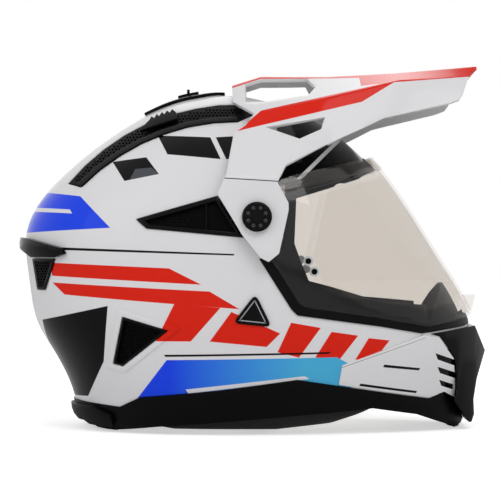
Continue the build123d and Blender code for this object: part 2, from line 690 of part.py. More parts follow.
# Impact liner: the thick foam cap, with a pocket for the sun visor and holes for the hubs
liner_gap = 0.6 * MM
liner_inner = 32 * MM
liner_shares = [
    (-1.222, 0.124), (-0.400, 0.124), (-0.400, 0.498), (-0.078, 0.498), (0.000, 0.525),
    (0.111, 0.579), (0.122, 0.726), (0.144, 0.734),
    (0.511, 0.811), (1.333, 0.981), (1.333, 1.158), (-1.222, 1.158),
]
hub_room = 0.6 * MM
with BuildPart() as visor_pocket:
    low_end = visor_low_angle - visor_drop_angle
    high_end = visor_high_angle + visor_stop_angle
    add(turned_visor(visor_room, low_end, high_end))
    add(side_prism(liner_shares), mode=Mode.INTERSECT)
with BuildPart() as impact_liner:
    add(form(-shell_wall - liner_gap))
    add(side_prism(liner_shares), mode=Mode.INTERSECT)
    add(form(-liner_inner), mode=Mode.SUBTRACT)
    add(visor_pocket.part, mode=Mode.SUBTRACT)
    for side in (-1, 1):
        add(cross_rod(visor_pin_radius + hub_room, pivot_x, pivot_z, side), mode=Mode.SUBTRACT)
        hub_pocket = cross_rod(hub_radius + hub_room, pivot_x, pivot_z, side, hub_inner - hub_room)
        add(hub_pocket, mode=Mode.SUBTRACT)
pieces["impact_liner"] = impact_liner.part

# Chin bar liner: a foam block inside the chin, open in the middle for the air duct
chin_liner_shares = [
    (0.342, 0.149), (0.367, 0.145), (0.578, 0.122), (1.333, 0.122), (1.333, 0.286), (0.756, 0.270),
    (0.342, 0.239),
]
with BuildPart() as chin_bar_liner:
    add(patch(-shell_wall - liner_gap, -chin_liner_inner, chin_liner_shares))
    add(
        plain_box(duct_back, half_length, -chin_port_half_width - duct_room,
                  chin_port_half_width + duct_room, 0, crown_height / 2),
        mode=Mode.SUBTRACT,
    )
pieces["chin_bar_liner"] = chin_bar_liner.part

# Comfort padding: the crown pad, the two cheek pads and the neck roll
pad_gap = 0.5 * MM
crown_pad_wall = 7 * MM
crown_pad_shares = [
    (-1.222, 0.255), (-0.422, 0.255), (-0.422, 0.506), (-0.089, 0.506), (0.044, 0.718),
    (0.333, 0.772), (0.667, 0.826), (0.667, 1.158),
    (-1.222, 1.158),
]
cheek_outer = 6 * MM
cheek_inner = 48 * MM
cheek_shares = [
    (-0.397, 0.216), (0.336, 0.232), (0.336, 0.324), (0.133, 0.347), (0.022, 0.479),
    (-0.022, 0.496), (-0.397, 0.496),
]
roll_inner = 25 * MM
roll_shares = [
    (-1.222, 0.012), (-0.417, 0.019), (-0.333, 0.010), (0.111, 0.010), (0.333, 0.027),
    (0.500, 0.066), (0.511, 0.100), (0.222, 0.120), (-0.500, 0.120), (-1.222, 0.120),
]
with BuildPart() as crown_pad:
    add(patch(-liner_inner - pad_gap, -liner_inner - pad_gap - crown_pad_wall, crown_pad_shares))
pieces["crown_pad"] = crown_pad.part
with BuildPart() as cheek_pad_right:
    add(patch(-cheek_outer, -cheek_inner, cheek_shares, -1))
pieces["cheek_pad_right"] = cheek_pad_right.part
pieces["cheek_pad_left"] = opposite(cheek_pad_right.part)
with BuildPart() as neck_roll:
    add(patch(-trim_depth - pad_gap, -roll_inner, roll_shares))
pieces["neck_roll"] = neck_roll.part

# Breath guard: a thin rubber lip that stands up behind the gasket at the chin
guard_shares = [
    (0.744, 0.276), (0.767, 0.340), (0.833, 0.432), (0.850, 0.432), (0.906, 0.363), (1.333, 0.355),
    (1.333, 0.290),
]
guard_wall = 2 * MM
with BuildPart() as breath_guard:
    add(patch(-shell_wall - clearance, -shell_wall - clearance - guard_wall, guard_shares))
pieces["breath_guard"] = breath_guard.part

# Chin strap: two webbing halves from rivets in the shell to the buckle under the chin
strap_share = 0.0667
strap_x = strap_share * half_length
strap_width = 24 * MM
strap_wall = 2 * MM
tab_top_share = 0.2085
tab_bottom_share = 0.1641
tab_top = tab_top_share * crown_height
tab_bottom = tab_bottom_share * crown_height
tab_y = skin_half_width(strap_x, tab_bottom, -shell_wall) - strap_wall
strap_bend = 5 * MM
strap_bend_shares = [(0.800, 0.139), (0.650, 0.127)]
left_strap_ends = [(52 * MM, 17 * MM), (25.5 * MM, 9 * MM)]
right_strap_ends = [(-62 * MM, 20 * MM), (-48.5 * MM, 8.3 * MM)]
rivet_share = 0.187
rivet_z = rivet_share * crown_height
rivet_radius = 2.5 * MM
rivet_head_radius = 4.4 * MM
rivet_head_height = 1.4 * MM
for side, name, ends in ((1, "left", left_strap_ends), (-1, "right", right_strap_ends)):
    bends = [(side * y * half_width, z * crown_height) for y, z in strap_bend_shares]
    with BuildPart() as strap:
        with BuildSketch(Plane.YZ.offset(strap_x)):
            with BuildLine() as strap_line:
                FilletPolyline(
                    (side * tab_y, tab_top), (side * tab_y, tab_bottom), *bends, *ends,
                    radius=strap_bend,
                )
            trace(lines=strap_line.line, line_width=strap_wall)
        extrude(amount=strap_width / 2, both=True)
        hole = cross_rod(rivet_radius + clearance, strap_x, rivet_z, side)
        add(hole, mode=Mode.SUBTRACT)
    pieces["chin_strap_" + name] = strap.part
with BuildPart() as strap_rivets:
    for side in (-1, 1):
        shank_end = skin_half_width(strap_x, rivet_z, -shell_wall) - 3 * clearance
        head_y = tab_y - strap_wall / 2 - clearance
        head_top = head_y - rivet_head_height
        add(cross_rod(rivet_radius, strap_x, rivet_z, side, head_top, shank_end))
        add(cross_rod(rivet_head_radius, strap_x, rivet_z, side, head_top, head_y))
pieces["strap_rivets"] = strap_rivets.part

# Ratchet buckle: a base on the left strap, a toothed tongue on the right one and a release lever
base_low = 5 * MM
base_wall = 2 * MM
base_half_width = 14 * MM
base_y_from = -18 * MM
base_y_to = 25 * MM
cheek_height = 8.5 * MM
cheek_y_from = -6 * MM
tongue_half_width = 7 * MM
tongue_y_from = -47 * MM
tongue_y_to = 8 * MM
tooth_count = 7
tooth_pitch = 3 * MM
tooth_height = 1 * MM
lever_pin_y = 19 * MM
lever_pin_z = 11.5 * MM
lever_pin_radius = 1.2 * MM
lever_barrel_radius = 2.6 * MM
lever_end_y = -12 * MM
lever_wall = 1.8 * MM
with BuildPart() as buckle_base:
    add(plain_box(strap_x - base_half_width, strap_x + base_half_width, base_y_from, base_y_to,
                  base_low, base_low + base_wall))
    for side in (-1, 1):
        inner = strap_x + side * (base_half_width - base_wall)
        outer = strap_x + side * base_half_width
        add(plain_box(min(inner, outer), max(inner, outer), cheek_y_from, base_y_to,
                      base_low, base_low + cheek_height))
    with BuildSketch(Plane.YZ.offset(strap_x)):
        with Locations((lever_pin_y, lever_pin_z)):
            Circle(lever_pin_radius)
    extrude(amount=base_half_width, both=True)
pieces["buckle_base"] = buckle_base.part
with BuildPart() as ratchet_tongue:
    tongue_low = base_low + base_wall + clearance
    add(plain_box(strap_x - tongue_half_width, strap_x + tongue_half_width, tongue_y_from, tongue_y_to,
                  tongue_low, tongue_low + base_wall))
    with BuildSketch(Plane.YZ.offset(strap_x)):
        for tooth in range(tooth_count):
            start = tongue_y_to - (tooth + 1) * tooth_pitch
            with BuildLine():
                Polyline(
                    (start, tongue_low + base_wall), (start + tooth_pitch, tongue_low + base_wall),
                    (start, tongue_low + base_wall + tooth_height), close=True,
                )
            make_face()
    extrude(amount=tongue_half_width, both=True)
pieces["ratchet_tongue"] = ratchet_tongue.part
with BuildPart() as buckle_lever:
    with BuildSketch(Plane.YZ.offset(strap_x)):
        with Locations((lever_pin_y, lever_pin_z)):
            Circle(lever_barrel_radius)
        lever_middle = ((lever_pin_y + lever_end_y) / 2, lever_pin_z + lever_barrel_radius - lever_wall / 2)
        with Locations(lever_middle):
            Rectangle(lever_pin_y - lever_end_y, lever_wall)
        with Locations((lever_pin_y, lever_pin_z)):
            Circle(lever_pin_radius + clearance, mode=Mode.SUBTRACT)
    extrude(amount=base_half_width - base_wall - clearance, both=True)
pieces["buckle_lever"] = buckle_lever.part

os.makedirs("parts", exist_ok=True)
for name, piece in pieces.items():
    piece.label = name
    export_step(piece, f"parts/{name}.step")
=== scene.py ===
# %% [markdown]
# A dual sport helmet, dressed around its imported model
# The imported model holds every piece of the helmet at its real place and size, as a plain solid. This
# lesson gives each one the surface that the eye expects: painted shell, clear shield, rubber, mesh,
# padding and webbing. A surface that is drawn anew replaces the plain solid and rides on its body.

import math

import bmesh
import bpy
import numpy as np
from mathutils import Matrix, Vector
from mathutils.geometry import delaunay_2d_cdt


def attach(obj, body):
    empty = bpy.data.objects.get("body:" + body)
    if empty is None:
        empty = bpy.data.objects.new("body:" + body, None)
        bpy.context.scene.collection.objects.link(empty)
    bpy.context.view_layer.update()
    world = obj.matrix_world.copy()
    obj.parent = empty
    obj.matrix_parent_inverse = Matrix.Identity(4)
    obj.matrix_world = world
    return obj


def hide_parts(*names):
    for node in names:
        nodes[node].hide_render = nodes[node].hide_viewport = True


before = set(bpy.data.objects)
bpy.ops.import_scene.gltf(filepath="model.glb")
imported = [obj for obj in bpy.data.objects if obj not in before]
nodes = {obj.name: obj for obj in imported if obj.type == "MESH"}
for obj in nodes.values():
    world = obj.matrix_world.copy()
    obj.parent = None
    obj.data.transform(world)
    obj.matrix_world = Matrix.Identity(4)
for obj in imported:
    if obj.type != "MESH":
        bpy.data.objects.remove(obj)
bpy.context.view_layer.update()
mm = 0.001
print("nodes in the frame:", len(nodes))

# %% [markdown]
# The form of the helmet
# The shell of such a helmet is one smooth form, a stack of rounded ovals from the neck to the crown.
# It could be sculpted, or drawn as a cage for subdivision, but then nothing else would fit it: the
# gasket, trim, vents and shield all follow this form at heights of their own. So it is worked out
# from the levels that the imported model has, as a function of two parameters, the turn round the
# helmet and the way up it.

# %% Levels of the form
half_length = 180 * mm
half_width = 120 * mm
crown_height = 259 * mm
# height, rear, front and width shares, front and rear exponents, and the share of the widest place
levels = np.array([
    (0.000, 0.672, 0.905, 0.735, 2.15, 2.20, -0.067),
    (0.023, 0.733, 0.922, 0.775, 2.15, 2.20, -0.067),
    (0.085, 0.766, 0.937, 0.842, 2.15, 2.20, -0.067),
    (0.154, 0.800, 0.950, 0.896, 2.15, 2.25, -0.067),
    (0.232, 0.861, 0.967, 0.938, 2.15, 2.25, -0.067),
    (0.309, 0.925, 0.950, 0.971, 2.15, 2.25, -0.067),
    (0.398, 0.956, 0.894, 0.992, 2.15, 2.25, -0.067),
    (0.483, 0.972, 0.817, 1.000, 2.20, 2.25, -0.067),
    (0.579, 0.978, 0.731, 0.996, 2.20, 2.25, -0.067),
    (0.676, 0.917, 0.642, 0.954, 2.20, 2.25, -0.067),
    (0.772, 0.789, 0.539, 0.867, 2.20, 2.25, -0.067),
    (0.842, 0.667, 0.439, 0.758, 2.15, 2.20, -0.067),
    (0.911, 0.522, 0.306, 0.575, 2.10, 2.15, -0.067),
    (0.958, 0.400, 0.172, 0.392, 2.05, 2.10, -0.067),
    (0.988, 0.278, 0.033, 0.217, 2.00, 2.00, -0.067),
    (1.000, 0.156, -0.156, 0.000, 2.00, 2.00, -0.156),
])
print(len(levels), "levels, the top one", round(crown_height / mm), "mm up")


# %% Smooth columns through the levels
def smooth_through(knots, values, first_slope, last_slope, at):
    """A clamped cubic spline: cubic pieces that share slope and bend, with given slopes at both ends."""
    gaps = np.diff(knots)
    slopes = np.diff(values, axis=0) / gaps[:, None]
    count = len(knots)
    matrix = np.zeros((count, count))
    right = np.zeros_like(values)
    matrix[0, :2] = 2 * gaps[0], gaps[0]
    matrix[-1, -2:] = gaps[-1], 2 * gaps[-1]
    right[0] = 6 * (slopes[0] - first_slope)
    right[-1] = 6 * (last_slope - slopes[-1])
    for i in range(1, count - 1):
        matrix[i, i - 1 : i + 2] = gaps[i - 1], 2 * (gaps[i - 1] + gaps[i]), gaps[i]
        right[i] = 6 * (slopes[i] - slopes[i - 1])
    bends = np.linalg.solve(matrix, right)
    i = np.clip(np.searchsorted(knots, at) - 1, 0, count - 2)
    step, gap = (at - knots[i])[..., None], gaps[i][..., None]
    slope = slopes[i] - gap * (2 * bends[i] + bends[i + 1]) / 6
    turning = (bends[i + 1] - bends[i]) / (6 * gap)
    return values[i] + step * slope + step**2 * bends[i] / 2 + step**3 * turning


# the way up at which each level lies, and the slopes of the columns at the neck and at the apex
knots = np.array([
    0, 0.02475, 0.07326, 0.126, 0.18565, 0.24452, 0.31203, 0.37801, 0.45257, 0.53016, 0.61521, 0.68693,
    0.7722, 0.84642, 0.91534, 1,
])
first_slope = np.array([0.6277, 3.9374, 0.7862, 1.7177, 0, 0, 0])
last_slope = np.array([-0.0335, -0.1791, -2.5978, -2.1541, 0, 0, 0])
way_up_samples = np.linspace(0, 1, 2001)
profile_samples = smooth_through(knots, levels, first_slope, last_slope, way_up_samples)
profile_samples[:, 0] = np.maximum.accumulate(profile_samples[:, 0])
profile_samples[-1] = levels[-1]


def profile_at(way_up):
    """The level's seven values at a way up from 0, the neck, to 1, the apex."""
    return [np.interp(way_up, way_up_samples, profile_samples[:, k]) for k in range(7)]


print("half the way up lies at", round(float(profile_at(0.5)[0] * crown_height) / mm), "mm")


# %% Points of the form
def form_point(turn, way_up, out):
    """A point of the form grown by out: each half is a superellipse, the cosine to the power 2/p along and
    the sine to the power 2/p across, times the level's reach and width."""
    height, rear, front, width, front_power, rear_power, middle = profile_at(way_up)
    ahead = np.cos(turn) > 0
    power = np.where(ahead, front_power, rear_power)
    reach = np.where(ahead, front - middle, rear + middle)
    along = np.sign(np.cos(turn)) * np.abs(np.cos(turn)) ** (2 / power)
    across = np.abs(np.sin(turn)) ** (2 / power)
    x = (middle + reach * along) * (half_length + out)
    return np.stack([x, width * across * (half_width + out), height * (crown_height + out)], -1)


def form_place(x, z, out):
    """The turn and way up of a point of the side view, and whether the form reaches there: the superellipse
    turned round, so the cosine is the share of the reach to the power p/2."""
    height = z / (crown_height + out)
    way_up = np.interp(height, profile_samples[:, 0], way_up_samples)
    _, rear, front, width, front_power, rear_power, middle = profile_at(way_up)
    along = x / (half_length + out) - middle
    ahead = along > 0
    reach = np.maximum(np.where(ahead, front - middle, rear + middle), 1e-6)
    power = np.where(ahead, front_power, rear_power)
    share = np.abs(along) / reach
    turn = np.arccos(np.sign(along) * np.minimum(share, 1) ** (power / 2))
    return turn, way_up, (share <= 1) & (height >= 0) & (height <= 1)


def skin_half_width(x, z, out=0.0):
    """Half the width of the form at a place in the side view."""
    turn, way_up, _ = form_place(np.asarray(x, float), np.asarray(z, float), out)
    return form_point(turn, way_up, out)[..., 1]


print("the form is", round(2 * half_width / mm), "mm wide")

# %% [markdown]
# Trimming a skin
# A moulded cover is a skin at some height over the form, with a crisp edge wherever its mould ends.
# Booleans could cut that edge out of a finished mesh, but they leave slivers that catch the light.
# Here the edge is drawn in the side view, carried on to the form's own two parameters, and a
# constrained triangulation fills it. The edges come out exact, and the faces stay even.


# %% An outline on a sheet
def outline(*points):
    """A side outline from points in millimetres."""
    return np.array(points, float) * mm


def form_sheet(out):
    """The left half of the form at a height over it, as a sheet that can be trimmed."""
    return {
        "point": lambda turn, way_up: form_point(turn, way_up, out),
        "places": {"side": lambda x, z: form_place(x, z, out)},
        "low": (0, 0), "high": (math.pi, 1),
        "cell": (1 / half_width, 1 / (2 * half_width)), "middle": (0, None),
    }


fine_step = 0.25 * mm


def carried_runs(sheet, view, shape, step):
    """The runs of an outline that lie on a sheet, in the sheet's own two parameters. Each side is sampled
    finely, the samples that the sheet reaches are thinned to the step, and a run that leaves the sheet
    ends on its middle line."""
    runs = []
    axis, middle = sheet["middle"]
    for start, end in zip(shape, np.roll(shape, -1, axis=0)):
        length = float(np.hypot(*(end - start)))
        count = max(int(length / fine_step), 2) + 1
        points = start + (end - start) * np.linspace(0, 1, count)[:, None]
        *place, here = sheet["places"][view](points[:, 0], points[:, 1])
        place = np.stack(place, -1)
        edges = np.flatnonzero(np.diff(np.concatenate([[0], here.astype(int), [0]])))
        for first, last in zip(edges[::2], edges[1::2] - 1):
            picked = max(int(round((last - first) * length / (count - 1) / step)), 1)
            index = np.unique(np.round(np.linspace(first, last, picked + 1)).astype(int))
            run = place[index]
            for spot, corner in ((0, first == 0), (-1, last == count - 1)):
                if not corner:
                    ends = (0, math.pi) if middle is None else (middle, middle)
                    run[spot, axis] = ends[0] if run[spot, axis] < math.pi / 2 else ends[1]
            runs.append(run)
    return runs


test_patch = outline((-50, 60), (50, 60), (50, 90), (-50, 90))
test_runs = carried_runs(form_sheet(0), "side", test_patch, 3 * mm)
print("an outline of four sides gives", len(test_runs), "runs")


# %% Inside an outline
def inside(outline, x, z):
    """Whether points lie in an outline: a ray crosses its edges an odd number of times."""
    odd = np.zeros(np.shape(x), bool)
    for (x0, z0), (x1, z1) in zip(outline, np.roll(outline, -1, axis=0)):
        if z0 == z1:
            continue
        crosses = (z0 > z) != (z1 > z)
        odd ^= crosses & (x < (x1 - x0) * (z - z0) / (z1 - z0) + x0)
    return odd


test_heights = np.array([50, 75, 100]) * mm
print("inside it, from below to above:", inside(test_patch, np.zeros(3), test_heights).tolist())


# %% Triangles that fill an outline
def trimmed(sheet, keep, holes=(), step=3 * mm, lines=()):
    """Triangles that fill an outline on a sheet but for its holes: parameters, triangles and points.
    A grid of cells of the step, less the spots beside a run, is triangulated with the runs as fixed
    edges. A triangle stays if its centre lies in the outline and in no hole."""
    low, high = np.array(sheet["low"], float), np.array(sheet["high"], float)
    cell = step * np.array(sheet["cell"])
    kept = carried_runs(sheet, *keep, step)
    coarse_steps = [np.linspace(low[k], high[k], 120) for k in (0, 1)]
    coarse = np.stack(np.meshgrid(*coarse_steps), -1).reshape(-1, 2)
    spots = sheet["point"](*coarse.T)
    covered = coarse[inside(keep[1], spots[:, 0], spots[:, 2 if keep[0] == "side" else 1])]
    span = np.concatenate([*kept, covered])
    low, high = np.maximum(span.min(0) - cell, low), np.minimum(span.max(0) + cell, high)
    runs = kept + [run for hole in holes for run in carried_runs(sheet, *hole, step)]
    for line in lines:
        within = line[(line >= low - 1e-9).all(1) & (line <= high + 1e-9).all(1)]
        if len(within) > 1:
            runs.append(within)
    counts = np.maximum(np.ceil((high - low) / cell).astype(int), 2)
    scale = (high - low) / counts
    across, up = (np.arange(counts[k] + 1) for k in (0, 1))
    grid = np.stack(np.meshgrid(across, up, indexing="ij"), -1).astype(float)
    free = np.ones(grid.shape[:2], bool)
    points, edges = [], []
    nearly_half = 0.45
    for run in runs:
        at = (run - low) / scale
        near = np.round(at).astype(int)
        close = (np.abs(at - near) < nearly_half).all(1) & (near > 0).all(1) & (near < counts).all(1)
        free[near[close, 0], near[close, 1]] = False
        edges += [(len(points) + i, len(points) + i + 1) for i in range(len(run) - 1)]
        points += at.tolist()
    points += grid[free].tolist()
    found, _, faces = delaunay_2d_cdt([Vector(p) for p in points], edges, [], 0, 1e-5)[:3]
    flat = np.array([tuple(v) for v in found]) * scale + low
    faces = np.array(faces)
    centre = sheet["point"](*flat[faces].mean(1).T)

    def within(view, shape):
        """Whether the triangles' centres lie in an outline."""
        return inside(shape, centre[:, 0], centre[:, 2 if view == "side" else 1])

    use = within(*keep)
    for hole in holes:
        use &= ~within(*hole)
    used, faces = np.unique(faces[use], return_inverse=True)
    faces, flat = faces.reshape(-1, 3), flat[used]
    a, b, c = (flat[faces[:, k]] for k in range(3))
    turned_over = (b - a)[:, 0] * (c - a)[:, 1] < (b - a)[:, 1] * (c - a)[:, 0]
    faces[turned_over] = faces[turned_over][:, ::-1]
    return flat, faces, sheet["point"](*flat.T)


print(len(trimmed(form_sheet(0), ("side", test_patch))[1]), "triangles fill it")

# %% [markdown]
# The shell
# The shell is moulded in fibreglass, with an eyeport and ports for the vents, the chin and the
# pivots. Its openings could be cut one by one with booleans. They are drawn as outlines here, at the
# places that the model gives them, because one fill then leaves all of them out at once.

# %% Straight-sided ports
eyeport = outline(
    (6.6, 130.7), (30.3, 93.5), (34.6, 89.2), (96.4, 80.5), (129, 74.6), (135.8, 75.2),
    (240, 88.6), (240, 250), (92, 207), (26, 187), (24, 146),
)
shell_edge = outline(
    (-220, 13), (-135, 13), (-99, 11), (-83, 19), (-23, 25), (35, 33), (66, 28), (136, 17),
    (150, 13), (220, 13), (220, 300), (-220, 300),
)
side_vent = outline((-85, 160.4), (-24, 177.7), (-4.3, 146.4), (-76.9, 153.2))
lower_vent = outline((-95, 88), (-60.7, 78), (-95.2, 50.6), (-102.9, 52.4))
top_vent = outline(
    (-140, 188), (-127.3, 202.5), (-112.9, 215.3), (-97.1, 226.3), (-80, 235.2), (-61.9, 241.7),
    (-43.2, 246.4), (-24.1, 249.5), (-4.9, 249.7), (14, 246), (-9.3, 234), (-28.1, 233.1),
    (-46.7, 230), (-64.8, 224.8), (-82.2, 217.5), (-98.7, 208.3), (-114, 197.4), (-128, 184.7),
)
straight_ports = [eyeport, side_vent, lower_vent, top_vent]
print("corners of the ports:", [len(port) for port in straight_ports])


# %% Round ports and the chin's
def rounded(shape, radius, count=5):
    """An outline with its corners turned into arcs: each corner point becomes a quadratic curve."""
    shape = np.asarray(shape)
    before, after = np.roll(shape, 1, axis=0) - shape, np.roll(shape, -1, axis=0) - shape
    reach_before = np.minimum(radius / np.linalg.norm(before, axis=1), 0.45)[:, None]
    reach_after = np.minimum(radius / np.linalg.norm(after, axis=1), 0.45)[:, None]
    share = np.linspace(0, 1, count)[None, :, None]
    first, last = (shape + before * reach_before)[:, None], (shape + after * reach_after)[:, None]
    middle = shape[:, None]
    return ((1 - share) ** 2 * first + 2 * share * (1 - share) * middle + share**2 * last).reshape(-1, 2)


def circle(centre, radius, count=48):
    """Points of a round outline."""
    turn = np.linspace(0, 2 * math.pi, count, endpoint=False)
    return np.asarray(centre) + radius * np.stack([np.cos(turn), np.sin(turn)], -1)


def seen_from_front(half, low, high, out):
    """The side outline of a rectangular port in the front, half as wide as given: the place ahead where
    the form is that wide, at each height, and a straight side ahead of the helmet."""
    front_part = np.linspace(0.5, 0.97, 900)
    ahead = front_part * (half_length + out)
    line = []
    for z in np.linspace(low, high, 9):
        widths = skin_half_width(ahead, np.full_like(ahead, z), out)
        line.append((np.interp(-half, -widths, ahead), z))
    beyond = 240 * mm
    return np.array(line + [(beyond, high), (beyond, low)])


pivot = np.array([4.8, 161.7]) * mm
button_edge = rounded(outline((3.7, 105.5), (-13.1, 83.6), (15.9, 80.6)), radius=5.5 * mm)
hub_hole = circle(pivot, radius=12.3 * mm)
chin_port = seen_from_front(half=21 * mm, low=30 * mm, high=60 * mm, out=0)
ports = [*straight_ports, button_edge, hub_hole, chin_port]
print(len(ports), "ports, the chin's with", len(chin_port), "corners")


# %% The shell's skin
def new_piece(name, points, faces):
    """An object in the scene from an array of points and lists of the corners of its faces."""
    mesh = bpy.data.meshes.new(name)
    mesh.from_pydata(np.asarray(points).tolist(), [], faces)
    piece = bpy.data.objects.new(name, mesh)
    bpy.context.scene.collection.objects.link(piece)
    return piece


def build_piece(name, points, faces):
    """A smooth piece from arrays, welded where its halves meet."""
    piece = new_piece(name, points, faces.tolist())
    mesh = piece.data
    shape = bmesh.new()
    shape.from_mesh(mesh)
    bmesh.ops.remove_doubles(shape, verts=shape.verts, dist=0.01 * mm)
    bmesh.ops.dissolve_degenerate(shape, edges=shape.edges, dist=0.01 * mm)
    shape.to_mesh(mesh)
    shape.free()
    mesh.polygons.foreach_set("use_smooth", np.ones(len(mesh.polygons), bool))
    return piece


def sheet_piece(name, sheet, side=0, keep=None, holes=(), step=3 * mm, lines=()):
    """A trimmed sheet on one side, or on both sides as one piece where side is 0."""
    _, faces, points = trimmed(sheet, keep, holes, step, lines)
    mirrored = points * [1, -1, 1]
    if side == 1:
        return build_piece(name, points, faces)
    if side == -1:
        return build_piece(name, mirrored, faces[:, ::-1])
    both = np.concatenate([points, mirrored])
    return build_piece(name, both, np.concatenate([faces, faces[:, ::-1] + len(points)]))


def skin_piece(name, out, side=0, keep=None, holes=(), step=3 * mm):
    """A trimmed skin of the form, at a height over it, on one side or as one piece on both."""
    side_holes = [("side", hole) for hole in holes]
    return sheet_piece(name, form_sheet(out), side, ("side", keep), side_holes, step)


shell = skin_piece("shell", out=0, keep=shell_edge, step=3.5 * mm, holes=ports)
print("the skin has", len(shell.data.polygons), "faces")

# %% [markdown]
# Walls
# A moulding has a wall of even thickness and edges that are a little round, which is where it catches
# the light. The wall could be modelled as a second skin and a rim. The Solidify and Bevel modifiers
# give the same from the one skin, and the inner side of the wall can have a finish of its own.


# %% The shell's wall
def settle(piece, sharp_angle=32):
    """Applies the modifiers and keeps edges sharper than the angle crisp."""
    bpy.context.view_layer.update()
    evaluated = piece.evaluated_get(bpy.context.evaluated_depsgraph_get())
    mesh = bpy.data.meshes.new_from_object(evaluated)
    mesh.name = piece.name
    piece.modifiers.clear()
    piece.data = mesh
    mesh.set_sharp_from_angle(angle=math.radians(sharp_angle))
    return piece


def thicken(piece, wall, edge=0.4 * mm, segments=2, lined=False):
    """Gives a skin its wall, inwards, rounds its rims, and keeps it above the ground.
    A lined skin has a finish of its own on the inner side of the wall."""
    wall_step = piece.modifiers.new("wall", "SOLIDIFY")
    wall_step.thickness = wall
    if lined:
        piece.data.materials.append(None)
        piece.data.materials.append(None)
        wall_step.material_offset = 1
    wall_step.offset = -1.0
    wall_step.use_quality_normals = True
    if edge:
        rim = piece.modifiers.new("rim", "BEVEL")
        rim.width = edge
        rim.segments = segments
        rim.limit_method = "ANGLE"
        rim.angle_limit = math.radians(50)
    settle(piece)
    places = np.empty(3 * len(piece.data.vertices))
    piece.data.vertices.foreach_get("co", places)
    places[2::3] = np.maximum(places[2::3], 0)
    piece.data.vertices.foreach_set("co", places)
    return piece


shell_wall = 3.6 * mm
thicken(shell, shell_wall, lined=True)
print("with its wall it has", len(shell.data.polygons), "faces")


# %% Seats of the lower vents
def joined(piece, *others):
    """One piece from several: the slots of each one that joins it follow those of the ones before."""
    shape = bmesh.new()
    taken = 0
    for part in (piece, *others):
        before = len(shape.faces)
        shape.from_mesh(part.data)
        shape.faces.ensure_lookup_table()
        for face in shape.faces[before:]:
            face.material_index += taken
        taken = max(face.material_index for face in shape.faces) + 1
    shape.to_mesh(piece.data)
    shape.free()
    for part in others:
        bpy.data.objects.remove(part)
    return piece


def grown(shape, by):
    """An outline with its edges moved outwards by a distance, or inwards where it is negative."""
    shape = np.asarray(shape)
    area = np.sum(shape[:, 0] * np.roll(shape[:, 1], -1) - np.roll(shape[:, 0], -1) * shape[:, 1])
    ahead = np.roll(shape, -1, axis=0) - shape
    ahead /= np.linalg.norm(ahead, axis=1)[:, None]
    normal = np.stack([ahead[:, 1], -ahead[:, 0]], -1) * np.sign(area)
    before = np.roll(normal, 1, axis=0)
    share = by / (1 + (before * normal).sum(1))
    return shape + (before + normal) * share[:, None]


clearance = 0.3 * mm
vent_seat = skin_piece(
    "vent_seat", out=0.9 * mm, step=2 * mm,
    keep=grown(lower_vent, 4.5 * mm), holes=[grown(lower_vent, clearance)],
)
joined(shell, thicken(vent_seat, 1.2 * mm, edge=0.7 * mm))
print("with the seats of the vents it has", len(shell.data.polygons), "faces")


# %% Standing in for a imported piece
piece_finish = {}


def stands_for(piece, body, slot, node_name, *finish_names):
    """Rides on a body, replaces its node and notes its finishes: those given, or else the slot's name."""
    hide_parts(node_name)
    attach(piece, body)
    piece_finish[piece.name] = finish_names or (slot,)
    print(piece.name, len(piece.data.polygons), "faces")
    return piece


stands_for(shell, "helmet", "shell_paint", "outer_shell", "shell_paint", "satin_black", "shell_paint")

# %% [markdown]
# Gasket
# A rubber profile is pushed on to the rim of the eyeport, and a thin black lining covers the foam
# behind it. The profile could be swept along the rim as a curve, but the rim turns sharply at its
# corners and a sweep would pinch there. A skin between two outlines, with a thick wall, turns well.

# %% Gasket and lining
gasket = skin_piece(
    "gasket", out=1.2 * mm, step=3 * mm,
    keep=grown(eyeport, -clearance), holes=[grown(eyeport, -8.5 * mm)],
)
thicken(gasket, 4.4 * mm, edge=1.0 * mm, segments=3)
lining_edge = outline(
    (8, 131), (31, 94), (36, 89), (98, 80), (136, 75), (134, 96), (94, 99), (67, 107), (44, 113),
    (37, 130), (31, 147), (25, 147),
)
lining = skin_piece("lining", out=-4.6 * mm, keep=lining_edge, step=3 * mm)
joined(gasket, thicken(lining, 1.2 * mm))
stands_for(gasket, "helmet", "gasket_rubber", "eyeport_gasket", "gasket_rubber", "satin_black")

# %% [markdown]
# Lower trim
# A plastic strip closes the lower edge of the shell and ends in a heel under the nape. It could be an
# extruded profile bent round the helmet. Its width changes all the way round, so it is trimmed from
# a skin that stands a little over the shell, and the heel is a second skin that stands further out.

# %% Trim and heel
trim_edge = outline(
    (-220, -10), (-102, -10), (-102, 0.6), (-70, 4.7), (92, 18.7), (126, 13), (158, 1), (158, -10),
    (220, -10), (220, 4), (169.3, 4), (147, 28), (136, 24.5), (66, 36), (35, 41), (-23, 33),
    (-83, 27), (-99, 19), (-135, 22), (-220, 23),
)
trim = skin_piece("trim", out=1.5 * mm, keep=trim_edge, step=3 * mm)
thicken(trim, 6.5 * mm, edge=1.2 * mm, segments=3)
heel_edge = outline(
    (-220, 7), (-128, 6.5), (-124, 3.5), (-117, 3.5), (-113, 1.5), (-104, 3.5), (-106, 12),
    (-122, 18.5), (-220, 18),
)
heel = skin_piece("heel", out=6 * mm, keep=heel_edge, step=3 * mm)
joined(trim, thicken(heel, 6 * mm, edge=1.5 * mm, segments=3))
stands_for(trim, "helmet", "black_matte", "lower_trim", "satin_black", "satin_black")

# %% [markdown]
# Spoiler and breath guard
# The spoiler is a low lip round the back that draws air out. The breath guard is a soft lip on the
# chin bar that turns breath away from the shield. Both could be bent strips. As both follow the
# form, one outwards and one inside the shell, they are trimmed skins like the rest.

